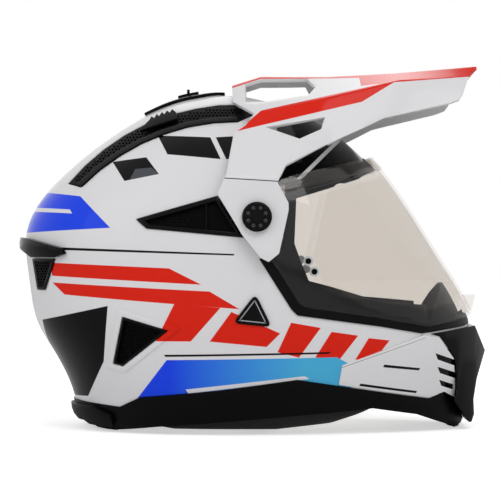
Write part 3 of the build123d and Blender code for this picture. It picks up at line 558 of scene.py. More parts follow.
# %% Spoiler
spoiler_edge = outline(
    (-220, 152), (-172, 146.5), (-143.5, 139), (-141, 134.5), (-147, 132), (-168, 132), (-180, 139),
    (-220, 142),
)
spoiler = skin_piece("spoiler", out=5 * mm, keep=spoiler_edge, step=3 * mm)
thicken(spoiler, 4.6 * mm, edge=1.5 * mm, segments=3)
stands_for(spoiler, "helmet", "black_gloss", "rear_spoiler")

# %% Breath guard
guard_edge = outline((134, 71.5), (138, 88), (150, 112), (153, 112), (163, 94), (240, 92), (240, 75.2))
guard = skin_piece("guard", out=-3.9 * mm, keep=guard_edge, step=2.5 * mm)
thicken(guard, 2 * mm, edge=0.5 * mm)
stands_for(guard, "helmet", "gasket_rubber", "breath_guard")

# %% [markdown]
# Shield
# The shield is injection moulded in clear polycarbonate, with a raised lip along its top edge. It
# could be a bent plane, but the real one is curved both ways so that the view stays true. A skin
# over the form has that curve, and the lip is a second, narrow skin on it.

# %% Shield and lip
shield_rim = outline(
    (9, 189), (26, 191), (99, 210), (240, 247), (240, 237), (101, 200), (30, 181.5), (12, 180),
)
shield_edge = outline(
    (0.9, 147.2), (-4.8, 150.2), (-8.8, 155.4), (-10.2, 161.7), (-8.8, 168), (-4.8, 173.2), (0.9, 177),
    (9, 189), (26, 191), (99, 210), (240, 247), (240, 102), (168.4, 86.8), (134.9, 79.5), (96.4, 87),
    (40.5, 95.2), (36.3, 97.7), (16.7, 128), (4, 138),
)
shield_out = 5.8 * mm
shield = skin_piece(
    "clear_shield", out=shield_out, keep=shield_edge, holes=[circle(pivot, radius=9.3 * mm)], step=3.5 * mm,
)
thicken(shield, 2.2 * mm, edge=0.7 * mm, segments=3)
rim = skin_piece("rim", out=6.9 * mm, keep=shield_rim, step=3 * mm)
thicken(rim, 1.0 * mm, edge=0.4 * mm, segments=3)
print("shield and lip:", len(shield.data.polygons), "and", len(rim.data.polygons), "faces")

# %% [markdown]
# Blocks from outlines
# The tab that lifts the shield is a small block whose back follows the shield. It could be pushed and
# pulled out of a cube by hand. A prism from its side outline has its true profile at once, and the
# closed form, grown to the shield's height, cuts its back.


# %% A prism for the tab
def prism(name, shape, flat_axis, low, high):
    """A block from an outline, drawn in the side view (axis 1) or from above (axis 2): the outline at two
    levels, with a face on each and a band of four-sided faces between them."""
    shape = np.asarray(shape)
    count = len(shape)
    layers = []
    for level in (low, high):
        layers.append(np.insert(shape, flat_axis, level, axis=1))
    faces = [list(range(count))[::-1], list(range(count, 2 * count))]
    faces += [[i, (i + 1) % count, (i + 1) % count + count, i + count] for i in range(count)]
    piece = new_piece(name, np.concatenate(layers), faces)
    solid = bmesh.new()
    solid.from_mesh(piece.data)
    bmesh.ops.recalc_face_normals(solid, faces=solid.faces)
    solid.to_mesh(piece.data)
    solid.free()
    return piece


tab_side = outline((164, 92), (168, 102), (176.5, 102.5), (173.5, 90.5), (168, 90))
tab = prism("tab", tab_side, flat_axis=1, low=-11 * mm, high=11 * mm)
print("the tab starts with", len(tab.data.polygons), "faces")


# %% The back of the tab
def combine(piece, operation, *others):
    """Joins, cuts or intersects a piece with others, which are used up."""
    for other in others:
        step = piece.modifiers.new("combine", "BOOLEAN")
        step.operation = operation
        step.object = other
        step.solver = "EXACT"
    settle(piece)
    for other in others:
        bpy.data.objects.remove(other)
    return piece


def closed_form(name, out):
    """The whole form as a closed body: a grid of turns and ways up with a flat face at both ends. It stops
    just under the apex, where a whole row would fall into one point."""
    half_count, row_count, last_row = 97, 90, 0.995
    there = np.linspace(0, math.pi, half_count)
    around = np.concatenate([there, np.linspace(math.pi, 0, half_count)[1:-1]])
    side_of = np.where(np.arange(len(around)) < half_count, 1, -1)
    ups = np.linspace(0, last_row, row_count)
    turn, up = np.meshgrid(around, ups, indexing="ij")
    points = form_point(turn.ravel(), up.ravel(), out).reshape(len(around), len(ups), 3)
    points[..., 1] *= side_of[:, None]
    count, rows = points.shape[:2]
    index = np.arange(count * rows).reshape(count, rows)
    after = np.roll(index, -1, axis=0)
    quads = np.stack([index[:, :-1], after[:, :-1], after[:, 1:], index[:, 1:]], -1).reshape(-1, 4)
    faces = quads.tolist() + [index[:, 0][::-1].tolist(), index[:, -1].tolist()]
    return new_piece(name, points.reshape(-1, 3), faces)


combine(tab, "DIFFERENCE", closed_form("core", out=5.6 * mm))
print("with its back cut it has", len(tab.data.polygons), "faces")


# %% Rounded edges, and the whole shield
def ease_edges(piece, width, segments=2, angle=25):
    """Rounds the edges of a piece that are sharper than an angle."""
    step = piece.modifiers.new("edges", "BEVEL")
    step.width = width
    step.segments = segments
    step.limit_method = "ANGLE"
    step.angle_limit = math.radians(angle)
    step.harden_normals = False
    return settle(piece, 40)


ease_edges(tab, 0.6 * mm)
joined(shield, rim, tab)
stands_for(shield, "shield", "clear_shield", "face_shield", "clear_shield", "clear_shield", "clear_shield")

# %% [markdown]
# Antifog lens
# The lens is a thin film that hangs inside the shield on two pins a side, each a steel ring with a
# black cap. It could have a wall, but light that has to pass many clear layers is cut off in a
# render. So the film is one layer, and the pins are turned rings carried through the shield.


# %% Lens and pins
def pin(place, radius, low, high):
    """A round pin across the helmet on both sides: a circle carried from one width to another."""
    ring = circle(place, radius, 24)
    ends = [np.insert(ring, 1, -width, axis=1) for width in (low, high)]
    points = np.concatenate(ends)
    count = len(ring)
    index = np.arange(count)
    after = (index + 1) % count
    faces = np.stack([index, after, after + count, index + count], -1).tolist()
    faces += [index[::-1].tolist(), (index + count).tolist()]
    faces += [[corner + 2 * count for corner in face[::-1]] for face in faces]
    return settle(new_piece("pin", np.concatenate([points, points * [1, -1, 1]]), faces))


lens_edge = outline(
    (46, 132), (58, 184), (100, 194), (240, 232), (240, 118), (160, 98), (134, 92), (98, 99), (58, 104),
)
lens = skin_piece("lens", out=2.9 * mm, keep=lens_edge, step=4 * mm)
lens_pins = []
for place in outline((42.5, 129.3), (47, 121.6)):
    width = float(skin_half_width(*place, shield_out))
    lens_pins += [
        pin(place, radius=3.6 * mm, low=width - 4 * mm, high=width + 0.2 * mm),
        pin(place, radius=2.2 * mm, low=width, high=width + 0.8 * mm),
    ]
joined(lens, *lens_pins)
pin_finishes = ["steel", "black_matte"] * (len(lens_pins) // 2)
stands_for(lens, "shield", "clear_shield", "antifog_lens", "lens_film", *pin_finishes)

# %% [markdown]
# Chin panels
# A painted cover on each side of the chin bar carries three slanted slots. The slots could be painted
# on, but real ones have a wall that shades them. They are holes in the skin, and its wall shows.

# %% Chin panels
sides = {"left": 1, "right": -1}
panel_edge = outline(
    (66, 37.2), (136, 25.6), (148, 29.4), (159, 23.5), (157, 40), (155.3, 54.9), (142.8, 71),
    (130.7, 73.4), (68.4, 51.5),
)
panel_slots = [
    outline((140, 59.5), (156.5, 53.5), (156.5, 49), (142, 54.5)),
    outline((142, 49), (157.5, 43.5), (157.5, 39), (144, 44)),
    outline((143.5, 38.8), (157, 34), (157, 30), (145.5, 34)),
]
for side_name, side in sides.items():
    panel = skin_piece(
        "panel_" + side_name, out=2.2 * mm, side=side, keep=panel_edge, holes=panel_slots, step=2.5 * mm,
    )
    thicken(panel, 1.9 * mm, edge=0.5 * mm)
    stands_for(panel, "helmet", "shell_paint", "chin_panel_" + side_name, "panel_paint")

# %% [markdown]
# Side and lower vents
# Each vent is a glossy frame pressed into its port, and the side vent's has a ridge round its window.
# Behind it lies a grille with rows of small six-sided holes. A picture of holes could stand for it,
# but only real ones darken at a slant. They are left out of the fill, so they cost no boolean.


# %% Vent frames
vent_frame = outline((-77.5, 159), (-33, 172.3), (-33, 151.6), (-72.5, 155))
vents = {"side_vent_": (side_vent, 3.5 * mm), "lower_vent_": (lower_vent, 2.2 * mm)}
for side_name, side in sides.items():
    for vent_name, (vent, band) in vents.items():
        rim = skin_piece(
            vent_name + "rim_" + side_name, out=1.2 * mm, side=side, step=2 * mm,
            keep=grown(vent, -clearance), holes=[grown(vent, -band)],
        )
        thicken(rim, 4.6 * mm, edge=0.7 * mm)
        if vent is side_vent:
            ridge = skin_piece(
                "ridge", out=0.4 * mm, side=side, step=1.5 * mm,
                keep=grown(vent_frame, 1.1 * mm), holes=[vent_frame],
            )
            joined(rim, thicken(ridge, 2.4 * mm, edge=0.4 * mm))
        stands_for(rim, "helmet", "black_gloss", vent_name + side_name, "black_gloss", "satin_black")


# %% Vent grilles
def perforated(shape, pitch, width, margin, part=None):
    """Six-sided holes in staggered rows that lie wholly inside an outline, or inside a part of it."""
    low, high = shape.min(0), shape.max(0)
    rows = np.arange(low[1], high[1], pitch * 0.866)
    centres = []
    for number, z in enumerate(rows):
        shift = pitch / 2 * (number % 2)
        centres += [(x, z) for x in np.arange(low[0] + shift, high[0], pitch)]
    centres = np.array(centres)
    room = inside(grown(shape, -margin), centres[:, 0], centres[:, 1])
    if part is not None:
        room &= inside(part, centres[:, 0], centres[:, 1])
    return [circle(centre, width / 2, 6) for centre in centres[room]]


grille_edges = {vent_name: grown(vent, -band - clearance) for vent_name, (vent, band) in vents.items()}
open_part = outline((-90, 150), (-35, 150), (-30, 180), (-90, 180))
grille_holes = {
    "side_vent_": perforated(grille_edges["side_vent_"], 2.6 * mm, 1.8 * mm, 1.2 * mm, open_part),
    "lower_vent_": perforated(grille_edges["lower_vent_"], 2.4 * mm, 1.7 * mm, 1.0 * mm),
}
for side_name, side in sides.items():
    for vent_name, holes in grille_holes.items():
        grille = skin_piece(
            vent_name + "grille_" + side_name, out=-2 * mm, side=side, step=2 * mm,
            keep=grille_edges[vent_name], holes=holes,
        )
        thicken(grille, 1.2 * mm, edge=0)
        stands_for(grille, "helmet", "black_matte", vent_name + "mesh_" + side_name)

# %% [markdown]
# Top vents
# A long curved strip of mesh lies on each side of the crown, with a smooth rail along its lower edge
# and a toothed slider that opens it. The strip could be an array of slats on a curve. It is a
# perforated skin like the grilles, since its holes then follow both of its curved edges.

# %% Mesh strips and rails
top_rail = outline(
    (-10, 239), (-29.3, 237.9), (-48.4, 234.6), (-66.9, 229), (-84.7, 221.5), (-101.6, 212),
    (-117.2, 200.7), (-131.5, 187.6), (-127.6, 186), (-113.7, 198.6), (-98.4, 209.4),
    (-82.1, 218.6), (-64.8, 225.8), (-46.8, 231.1), (-28.3, 234.2), (-9.6, 235.2),
)
strip_edge = grown(top_vent, -clearance)
strip_field = np.concatenate([
    top_vent[:10] + [0, 1 * mm],
    top_rail[:8] + [0, 1.2 * mm],
])
strip_holes = perforated(grown(strip_edge, -1 * mm), 2.7 * mm, 1.9 * mm, 1.8 * mm, strip_field)
for side_name, side in sides.items():
    strip = skin_piece(
        "strip_" + side_name, out=-0.6 * mm, side=side, keep=strip_edge, holes=strip_holes, step=2.5 * mm,
    )
    thicken(strip, 2 * mm, edge=0)
    rail = skin_piece("rail", out=1.3 * mm, side=side, keep=top_rail, step=2.5 * mm)
    joined(strip, thicken(rail, 2.6 * mm, edge=0.9 * mm, segments=3))
    stands_for(strip, "helmet", "black_matte", "top_vent_" + side_name, "black_matte", "satin_black")

# %% Toothed sliders
top_slider = outline(
    (-84, 228.5), (-80, 234.5), (-77.6, 237.2), (-76.2, 240.6), (-73.8, 238.7), (-72.2, 242.3),
    (-69.9, 240.3), (-68.2, 243.8), (-65.9, 241.7), (-64.2, 245.1), (-61.9, 242.9), (-60.2, 246),
    (-57, 243), (-56, 237.5),
)
for side_name, side in sides.items():
    toothed = skin_piece("toothed_" + side_name, out=2.7 * mm, side=side, keep=top_slider, step=2 * mm)
    thicken(toothed, 2.4 * mm, edge=0.3 * mm)
    stands_for(
        toothed, "top_slider_" + side_name, "black_gloss", "top_vent_slider_" + side_name, "black_matte",
    )

# %% [markdown]
# Rear vents
# Under the spoiler the used air leaves through two small hoods with a grille. They could be boxes set
# on the back, but there the form curves strongly both ways. Skins of it need no fitting.

# %% Hoods and their grilles
rear_vent = outline((-167.5, 131), (-147.6, 131), (-156.5, 107), (-163.5, 107))
hood_mesh = grown(rear_vent, -1.8 * mm)
hood_holes = perforated(hood_mesh, 2.4 * mm, 1.7 * mm, 1.0 * mm)
for side_name, side in sides.items():
    hood = skin_piece(
        "hood_" + side_name, out=1.4 * mm, side=side, step=2 * mm,
        keep=rear_vent, holes=[grown(rear_vent, -2 * mm)],
    )
    thicken(hood, 1.1 * mm, edge=0.4 * mm)
    hood_grille = skin_piece(
        "grille", out=0.9 * mm, side=side, keep=hood_mesh, holes=hood_holes, step=1.5 * mm,
    )
    joined(hood, thicken(hood_grille, 0.5 * mm, edge=0))
    stands_for(hood, "helmet", "black_matte", "rear_vent_" + side_name, "black_gloss", "black_matte")

# %% [markdown]
# Push buttons
# A rounded triangle under each pivot works the sun visor: a black bezel with a chromed ring, and the
# button inside it. The three could be one moulding with painted rings. They are three skins at three
# heights, because the button moves, and the steps between them catch the light.

# %% Bezels and buttons
for side_name, side in sides.items():
    bezel = skin_piece(
        "bezel_" + side_name, out=1.4 * mm, side=side, step=1.5 * mm,
        keep=grown(button_edge, -clearance), holes=[grown(button_edge, -3 * mm)],
    )
    ring = skin_piece(
        "ring", out=1.7 * mm, side=side, step=1.2 * mm,
        keep=grown(button_edge, -2.3 * mm), holes=[grown(button_edge, -3.1 * mm)],
    )
    joined(thicken(bezel, 4.8 * mm, edge=0.6 * mm, segments=3), thicken(ring, 1.2 * mm, edge=0.25 * mm))
    stands_for(bezel, "helmet", "silver_trim", "button_bezel_" + side_name, "black_gloss", "silver_trim")
    button = skin_piece(
        "push_button_" + side_name, out=2.4 * mm, side=side, step=1.2 * mm,
        keep=grown(button_edge, -3.3 * mm),
    )
    thicken(button, 3.8 * mm, edge=0.6 * mm, segments=3)
    stands_for(button, "press_" + side_name, "black_gloss", "button_" + side_name)

# %% [markdown]
# Centre vent
# A low cover lies on the crown, with a slot for the slider's pin. From the side it is seen edge-on, so
# its outline is drawn from above. It could be projected on to the crown. Here each point is carried
# up to the height where the form is as wide as the outline, and the same fill trims it.


# %% Centre vent
def seen_from_above(shape, out):
    """The side outline of an outline that is drawn from above: each point's height is that at which the
    form is as wide as the point is far from the middle. It is closed far above the crown."""
    upper_part = np.linspace(0.55, 0.99999, 1500)
    heights = upper_part * (crown_height + out)
    line = []
    for start, end in zip(shape[:-1], shape[1:]):
        share = np.linspace(0, 1, 12)[:, None]
        for x, y in start + (end - start) * share:
            widths = skin_half_width(np.full_like(heights, x), heights, out)
            here = form_place(np.full_like(heights, x), heights, out)[2]
            line.append((x, np.interp(-y, -np.where(here, widths, 0), heights)))
    line = np.array(line)
    line = line[np.concatenate([[True], np.hypot(*np.diff(line, axis=0).T) > 0.2 * mm])]
    above = 300 * mm
    return np.concatenate([line, [(line[-1, 0], above), (line[0, 0], above)]])


cover_out = 2.6 * mm
centre_outline = outline((-84, 0), (-84, 9), (-77, 15), (-40, 17), (-22, 8), (-22, 0))
slot_middle, slot_stretch = -68 * mm, 2.75 * mm
slot = circle((slot_middle, 0), 1.75 * mm, 20)
slot[:, 0] += np.where(slot[:, 0] > slot_middle, slot_stretch, -slot_stretch)
left_half = slot[slot[:, 1] >= -1e-6]
centre = skin_piece(
    "centre_cover", out=cover_out, keep=seen_from_above(centre_outline, cover_out), step=2 * mm,
    holes=[seen_from_above(left_half[np.argsort(left_half[:, 0])], cover_out)],
)
thicken(centre, 2.2 * mm, edge=0.8 * mm, segments=3)
stands_for(centre, "helmet", "black_gloss", "centre_vent")

# %% [markdown]
# The peak
# The peak is moulded in one thin sheet with crisp folds, windows for the wind and an arm down to each
# knob. It could be modelled face by face. It is a surface of two parameters instead: at six stations
# along it a section line turns at four folds, and the sheet runs straight from station to station,
# so that a fold can be moved without redrawing its neighbours.

# %% Stations of the peak
stations_x = np.array([-36, 8, 30, 60, 113, 178]) * mm
stations = np.array([
    [(129.3, 118), (129.3, 191), (88, 226), (24, 258.6), (0, 259)],
    [(129.3, 118), (129.3, 191), (88, 241.5), (24, 272.4), (0, 272.7)],
    [(129.3, 118), (128, 191), (86.5, 246), (24, 272.3), (0, 272.6)],
    [(112, 170), (98.5, 217), (84, 252.3), (25, 272.2), (0, 272.5)],
    [(92, 200), (76, 240), (70, 266), (30, 274.6), (0, 275)],
    [(76, 215), (58, 256), (47.5, 270.6), (38, 279.6), (0, 280.2)],
]) * mm
print(len(stations_x), "stations with", stations.shape[1], "fold points each")


# %% The folded surface
fold_round = 1.6 * mm


def section_at(x):
    """The five fold points of the section at each x, straight between the stations."""
    return np.stack([
        np.stack([np.interp(x, stations_x, stations[:, k, axis]) for axis in (0, 1)], -1) for k in range(5)
    ], -2)


def peak_point(back, fold):
    """A point of the peak from its distance back and its place along the folded section, 0 to 4. Between
    two folds it lies on a straight line, and close to a fold on a quadratic curve that rounds it."""
    x = -back * half_length
    section = section_at(x)
    part = np.clip(fold, 0, 4)
    low = np.minimum(part.astype(int), 3)
    pick = np.arange(len(x))
    line = section[pick, low] + (section[pick, low + 1] - section[pick, low]) * (part - low)[:, None]
    for k in (1, 2, 3):
        before = section[:, k - 1] - section[:, k]
        after = section[:, k + 1] - section[:, k]
        share_before = fold_round / np.linalg.norm(before, axis=1)
        share_after = fold_round / np.linalg.norm(after, axis=1)
        offset = part - k
        along = np.where(offset < 0, offset / share_before, offset / share_after)
        near = np.abs(along) < 1
        blend = (along + 1)[:, None] / 2
        first = section[:, k] + before * share_before[:, None]
        last = section[:, k] + after * share_after[:, None]
        arc = (1 - blend) ** 2 * first + 2 * blend * (1 - blend) * section[:, k] + blend**2 * last
        line = np.where(near[:, None], arc, line)
    return np.concatenate([x[:, None], line], 1)


ridge = peak_point(np.array([-0.5]), np.array([4.0]))[0]
print("the ridge is", round(ridge[2] / mm), "mm up,", round(ridge[0] / mm), "mm ahead")


# %% Places on the peak
def peak_from_side(x, z):
    """The place on the peak of a point of the side view: heights rise from fold to fold."""
    heights = section_at(x)[..., 1]
    rise = np.clip((z[:, None] - heights[:, :-1]) / np.diff(heights, axis=1), 0, 1)
    here = (z >= heights[:, 0]) & (z <= heights[:, 4])
    return -x / half_length, rise.sum(1), here


def peak_from_above(x, y):
    """The place on the peak of a point of the top view: widths fall from fold to fold."""
    widths = section_at(x)[..., 0]
    fall = np.clip((widths[:, :-1] - y[:, None]) / np.maximum(-np.diff(widths, axis=1), 1e-9), 0, 1)
    return -x / half_length, fall.sum(1), np.ones(len(x), bool)


trial_heights = np.array([180, 240, 270]) * mm
trial_places = peak_from_side(np.full(3, 60 * mm), trial_heights)[1]
print("three heights lie at the folds", trial_places.round(2))

# %% [markdown]
# Trimming the peak
# The moulding ends in sharp corners, and its windows let the wind through so that it doesn't lift the
# head. The edge and the side windows are drawn in the side view and the top window from above. The
# folds go into the fill as lines, five beside each other, so that each bends in small even steps.

# %% Peak
peak_edge = outline(
    (-24, 178.5), (-17.4, 193.8), (-15.6, 205.8), (-12.4, 224.5), (-3.5, 230.5), (3, 240),
    (-13.5, 251), (-16, 300),
    (190, 300), (178, 281), (174.4, 279.5), (167, 269.9), (161.8, 256), (159, 252), (151.2, 249),
    (113, 240), (100.6, 237), (86.3, 230), (67.9, 221.4), (51.4, 213.3), (38, 206.3), (26.2, 200.4),
    (21.9, 191.8), (20, 186.6), (27.9, 172), (27.9, 166.4), (21, 135), (13.3, 128.7), (7.4, 131.7),
    (-6.2, 148.7),
)
side_window = outline((11.2, 229), (55.8, 236.8), (52.8, 227.6), (36.4, 219.9))
top_window = outline((-4, 29), (-4, 62), (10, 72), (44, 70), (50, 52), (44, 29))
peak_backs = (-1.02, 0.2)
fold_lines = [
    np.stack([np.linspace(*peak_backs, 122), np.full(122, fold + shift)], -1)
    for fold in (1, 2, 3) for shift in (-0.05, -0.025, 0, 0.025, 0.05)
]
peak_sheet = {
    "point": peak_point, "places": {"side": peak_from_side, "top": peak_from_above},
    "low": (peak_backs[0], 0), "high": (peak_backs[1], 4), "cell": (1 / half_length, 1 / (35 * mm)),
    "middle": (1, 4),
}
peak = sheet_piece(
    "folded_peak", peak_sheet, step=4 * mm, lines=fold_lines,
    keep=("side", peak_edge), holes=[("side", side_window), ("top", top_window)],
)
thicken(peak, 2.7 * mm, edge=0.7 * mm, segments=2, lined=True)
stands_for(peak, "peak_body", "peak_paint", "peak", "peak_paint", "bare_abs")

# %% [markdown]
# Chin mask
# The mask is faceted: its front is cut by upright planes in plan and by slanted ones in profile, and
# three louvres run across it. It could be built plane by plane. As the common part of two prisms its
# facets meet in straight edges by themselves, and the form cuts its back so that it seats.

# %% Mask
mask_side = outline(
    (136, 74.2), (174, 79), (184, 59), (175.8, 38), (172.8, 22), (173.4, 10.5), (171, 4.6),
    (168.8, 4.6), (155.5, 22.6), (158, 26), (158, 40), (156.3, 55.2), (143.5, 71.8),
)
mask_plan = outline(
    (120, -88), (138, -73), (150, -61.5), (163, -46), (176, -29), (184.5, -11), (184.5, 11),
    (176, 29), (163, 46), (150, 61.5), (138, 73), (120, 88),
)
mask = prism("mask", mask_side, flat_axis=1, low=-100 * mm, high=100 * mm)
combine(mask, "INTERSECT", prism("plan", mask_plan, flat_axis=2, low=-10 * mm, high=100 * mm))
ease_edges(mask, 1.0 * mm)
louvre_reach = 13.4 * mm
side_to_front = Matrix(((0, 1, 0, 0), (1, 0, 0, 0), (0, 0, 1, 0), (0, 0, 0, 1)))
louvres = []
for louvre_height in (36, 43.5, 51):
    louvre = circle((0, louvre_height * mm), 1.6 * mm, 24)
    louvre[:, 0] += np.where(louvre[:, 0] > 0, louvre_reach, -louvre_reach)
    cutter = prism("louvre", louvre, flat_axis=1, low=120 * mm, high=250 * mm)
    cutter.data.transform(side_to_front)
    cutter.data.flip_normals()
    louvres.append(cutter)
combine(mask, "DIFFERENCE", closed_form("core", out=0.3 * mm), *louvres)
stands_for(mask, "helmet", "black_gloss", "chin_mask")

# %% [markdown]
# Knobs
# The peak is held by two screws with a round head, turned by hand or with a coin, and a ring of
# dimples gives the fingers a hold. A bevelled cylinder could stand for the head. It is turned from a
# profile instead, as on a lathe, and each dimple is a small turned cutter with a stud left in it.
# The grey studs are painted highlight, for the light that the dimples catch.


# %% A turned body
def material_slots(piece):
    """The number of the slot that each face of a piece has."""
    slots = np.empty(len(piece.data.polygons), np.int32)
    piece.data.polygons.foreach_get("material_index", slots)
    return slots


def turned(name, profile, count=96):
    """A body turned about the Y axis: a profile of radius and place, swept round, so that X and Z are the
    radius times the cosine and the sine of the turn."""
    profile = np.array(profile) * mm
    turn = np.linspace(0, 2 * math.pi, count, endpoint=False)[:, None]
    radius, place = profile[None, :, 0], profile[None, :, 1]
    points = np.stack([radius * np.cos(turn), place + 0 * turn, radius * np.sin(turn)], -1)
    index = np.arange(points.size // 3).reshape(points.shape[:2])
    after = np.roll(index, -1, axis=0)
    quads = np.stack([index[:, :-1], index[:, 1:], after[:, 1:], after[:, :-1]], -1).reshape(-1, 4)
    faces = quads.tolist() + [index[:, 0].tolist(), index[:, -1][::-1].tolist()]
    return new_piece(name, points.reshape(-1, 3), faces)


knobs = {}
for side_name in sides:
    knobs[side_name] = turned("knob_" + side_name, [
        (10.6, 129.6), (11, 130), (11, 132.6), (10.8, 133.2), (10.3, 133.6), (9.7, 133.8), (3, 133.8),
    ])
    print(knobs[side_name].name, "is turned with", len(knobs[side_name].data.polygons), "faces")

# %% Dimples and studs
dimple_count, dimple_reach = 8, 6.9 * mm
for side_name, knob in knobs.items():
    dimples, studs = [], []
    for k in range(dimple_count):
        turn = (2 * k + 1) * math.pi / dimple_count
        shift = Matrix.Translation((dimple_reach * math.cos(turn), 0, dimple_reach * math.sin(turn)))
        dimples.append(turned("dimple", [(2.3, 132.4), (2.3, 136)], 32))
        studs.append(turned("stud", [(1.8, 132.2), (1.8, 132.9), (1.1, 133.4)], 32))
        dimples[-1].data.transform(shift)
        studs[-1].data.transform(shift)
    combine(knob, "DIFFERENCE", *dimples)
    ease_edges(knob, 0.4 * mm)
    # the studs take the grey painted highlight
    joined(knob, *studs)
    knob.data.polygons.foreach_set("material_index", np.minimum(material_slots(knob), 1))
    knob.data.transform(Matrix.Translation((pivot[0], 0, pivot[1])))
    if sides[side_name] < 0:
        knob.data.transform(Matrix.Scale(-1, 4, (0, 1, 0)))
        knob.data.flip_normals()
    stands_for(
        knob, "knob_" + side_name, "black_matte", "peak_knob_" + side_name, "black_gloss", "dimple_highlight_grey",
    )

# %% [markdown]
# Padding
# The cheek pads and the crown lining are foam under knit: one flat side on the liner, and a crowned
# side towards the head. Cloth could be blown up with a simulation, but these pads are held in shape
# by their foam and hardly crease. So their depth rises from the seam like the quarter of an ellipse,
# worked out from each point's distance to the seam.


# %% A pillow
def edge_distance(shape, x, z):
    """The distance from points to the nearest side of an outline."""
    nearest = np.full(np.shape(x), np.inf)
    for (x0, z0), (x1, z1) in zip(shape, np.roll(shape, -1, axis=0)):
        along_x, along_z = x1 - x0, z1 - z0
        share = ((x - x0) * along_x + (z - z0) * along_z) / (along_x**2 + along_z**2)
        share = np.clip(share, 0, 1)
        nearest = np.minimum(nearest, np.hypot(x - x0 - share * along_x, z - z0 - share * along_z))
    return nearest


def pillow(name, shape, outer, inner, round_over, side=0, power=2.0, step=3 * mm):
    """A pad between two skins: the outer one plain, the inner one crowned. With d the distance to the seam
    as a share of the round-over, the share of the depth is 1 - (1 - d) to the power p, to the power 1/p."""
    surface_out = form_sheet(outer)
    flat, faces, place = trimmed(surface_out, ("side", shape), [], step)
    away = np.minimum(edge_distance(shape, place[:, 0], place[:, 2]) / round_over, 1)
    rise = (1 - (1 - away) ** power) ** (1 / power)
    crowned = form_point(*flat.T, outer + (inner - outer) * rise)
    count = len(place)
    points = np.concatenate([place, crowned])
    faces = np.concatenate([faces, faces[:, ::-1] + count])
    if side <= 0:
        mirrored = points * [1, -1, 1]
        if side:
            return build_piece(name, mirrored, faces[:, ::-1])
        points = np.concatenate([points, mirrored])
        faces = np.concatenate([faces, faces[:, ::-1] + 2 * count])
    return build_piece(name, points, faces)


cheek_edge = outline((-71.5, 56), (60.5, 60), (60.5, 84), (24, 90), (4, 124), (-4, 128.5), (-71.5, 128.5))
print("the cheek's middle is", round(float(edge_distance(cheek_edge, 0, 80 * mm)) / mm), "mm from its seam")

# %% Cheek pads and crown lining
seam_angle = math.radians(60)
for side_name, side in sides.items():
    cheek = pillow(
        "cheek_" + side_name, rounded(cheek_edge, 10 * mm), outer=-8 * mm, inner=-47 * mm,
        round_over=16 * mm, side=side, power=2.4,
    )
    cheek.data.set_sharp_from_angle(angle=seam_angle)
    stands_for(cheek, "helmet", "pad_fabric", "cheek_pad_" + side_name)
crown_edge = outline(
    (-220, 66), (-76, 66), (-76, 131), (-16, 131), (8, 186), (60, 200), (120, 214), (120, 300), (-220, 300),
)
crown = pillow(
    "crown_lining", crown_edge, outer=-32.6 * mm, inner=-39.4 * mm, round_over=8 * mm, step=4 * mm,
)
stands_for(crown, "helmet", "pad_fabric", "crown_pad")

# %% [markdown]
# Neck roll
# A stuffed roll closes the gap round the nape and ends under the cheeks. It could be a bevelled
# curve, but its height changes and it has to stay under the trim. So it is a ring carried round the
# form: a rounded square, |cos| and |sin| to the power 3/4, whose height comes from two lines.

# %% The roll's rings
roll_low = outline((-220, 3), (-75, 5), (-60, 2.5), (20, 2.5), (60, 7), (90, 17), (220, 17))
roll_high = outline((-220, 31), (-90, 31), (40, 31), (92, 26), (220, 26))
roll_out, roll_half_depth = -15.5 * mm, 9.2 * mm
half_rings, ring_count, ring_points, taper_rings = 121, 241, 48, 8
front_turn, spine_way_up, squareness = 0.9, 0.05, 0.75
turn_left = front_turn + (math.pi - front_turn) * np.linspace(0, 1, half_rings)
sweep = np.concatenate([turn_left, turn_left[::-1][1:]])
sweep_side = np.where(np.arange(ring_count) < half_rings, 1, -1)
spine_x = form_point(sweep, np.full(ring_count, spine_way_up), roll_out)[:, 0]
low_line, high_line = np.interp(spine_x, *roll_low.T), np.interp(spine_x, *roll_high.T)
to_end = np.minimum(np.arange(ring_count), np.arange(ring_count)[::-1]) / taper_rings
taper = np.sqrt(1 - (1 - np.clip(to_end, 0, 1)) ** 2)
ring_turn = np.linspace(0, 2 * math.pi, ring_points, endpoint=False)
ring_cos, ring_sin = np.cos(ring_turn), np.sin(ring_turn)
bulge_out = np.sign(ring_cos) * np.abs(ring_cos) ** squareness
bulge_up = np.sign(ring_sin) * np.abs(ring_sin) ** squareness
middle, half = (low_line + high_line) / 2, (high_line - low_line) / 2
heights = middle[:, None] + (half * taper)[:, None] * bulge_up[None]
offsets = roll_out + roll_half_depth * taper[:, None] * bulge_out[None]
ups = np.interp(heights / (crown_height + offsets), profile_samples[:, 0], way_up_samples)
roll_points = form_point(np.repeat(sweep[:, None], ring_points, 1), ups, offsets)
roll_points[..., 1] *= sweep_side[:, None]
print("the roll is up to", round(2 * float(half.max()) / mm), "mm high")

# %% The roll's surface
index = np.arange(ring_count * ring_points).reshape(ring_count, ring_points)
after = np.roll(index, -1, axis=1)
roll_quads = np.stack([index[:-1], after[:-1], after[1:], index[1:]], -1).reshape(-1, 4)
roll = new_piece("stuffed_roll", roll_points.reshape(-1, 3), roll_quads.tolist())
roll_mesh = roll.data
shape = bmesh.new()
shape.from_mesh(roll_mesh)
bmesh.ops.remove_doubles(shape, verts=shape.verts, dist=0.05 * mm)
bmesh.ops.recalc_face_normals(shape, faces=shape.faces)
shape.to_mesh(roll_mesh)
shape.free()
roll_mesh.polygons.foreach_set("use_smooth", np.ones(len(roll_mesh.polygons), bool))
stands_for(roll, "helmet", "pad_fabric", "neck_roll")


# %% [markdown]
# Colours
# Paint makers give a colour as sRGB hex, but a shader adds light in linear numbers. The hex could be
# typed into each colour button by hand. One function that turns it to linear keeps every colour in
# the text, where it can be read and compared.


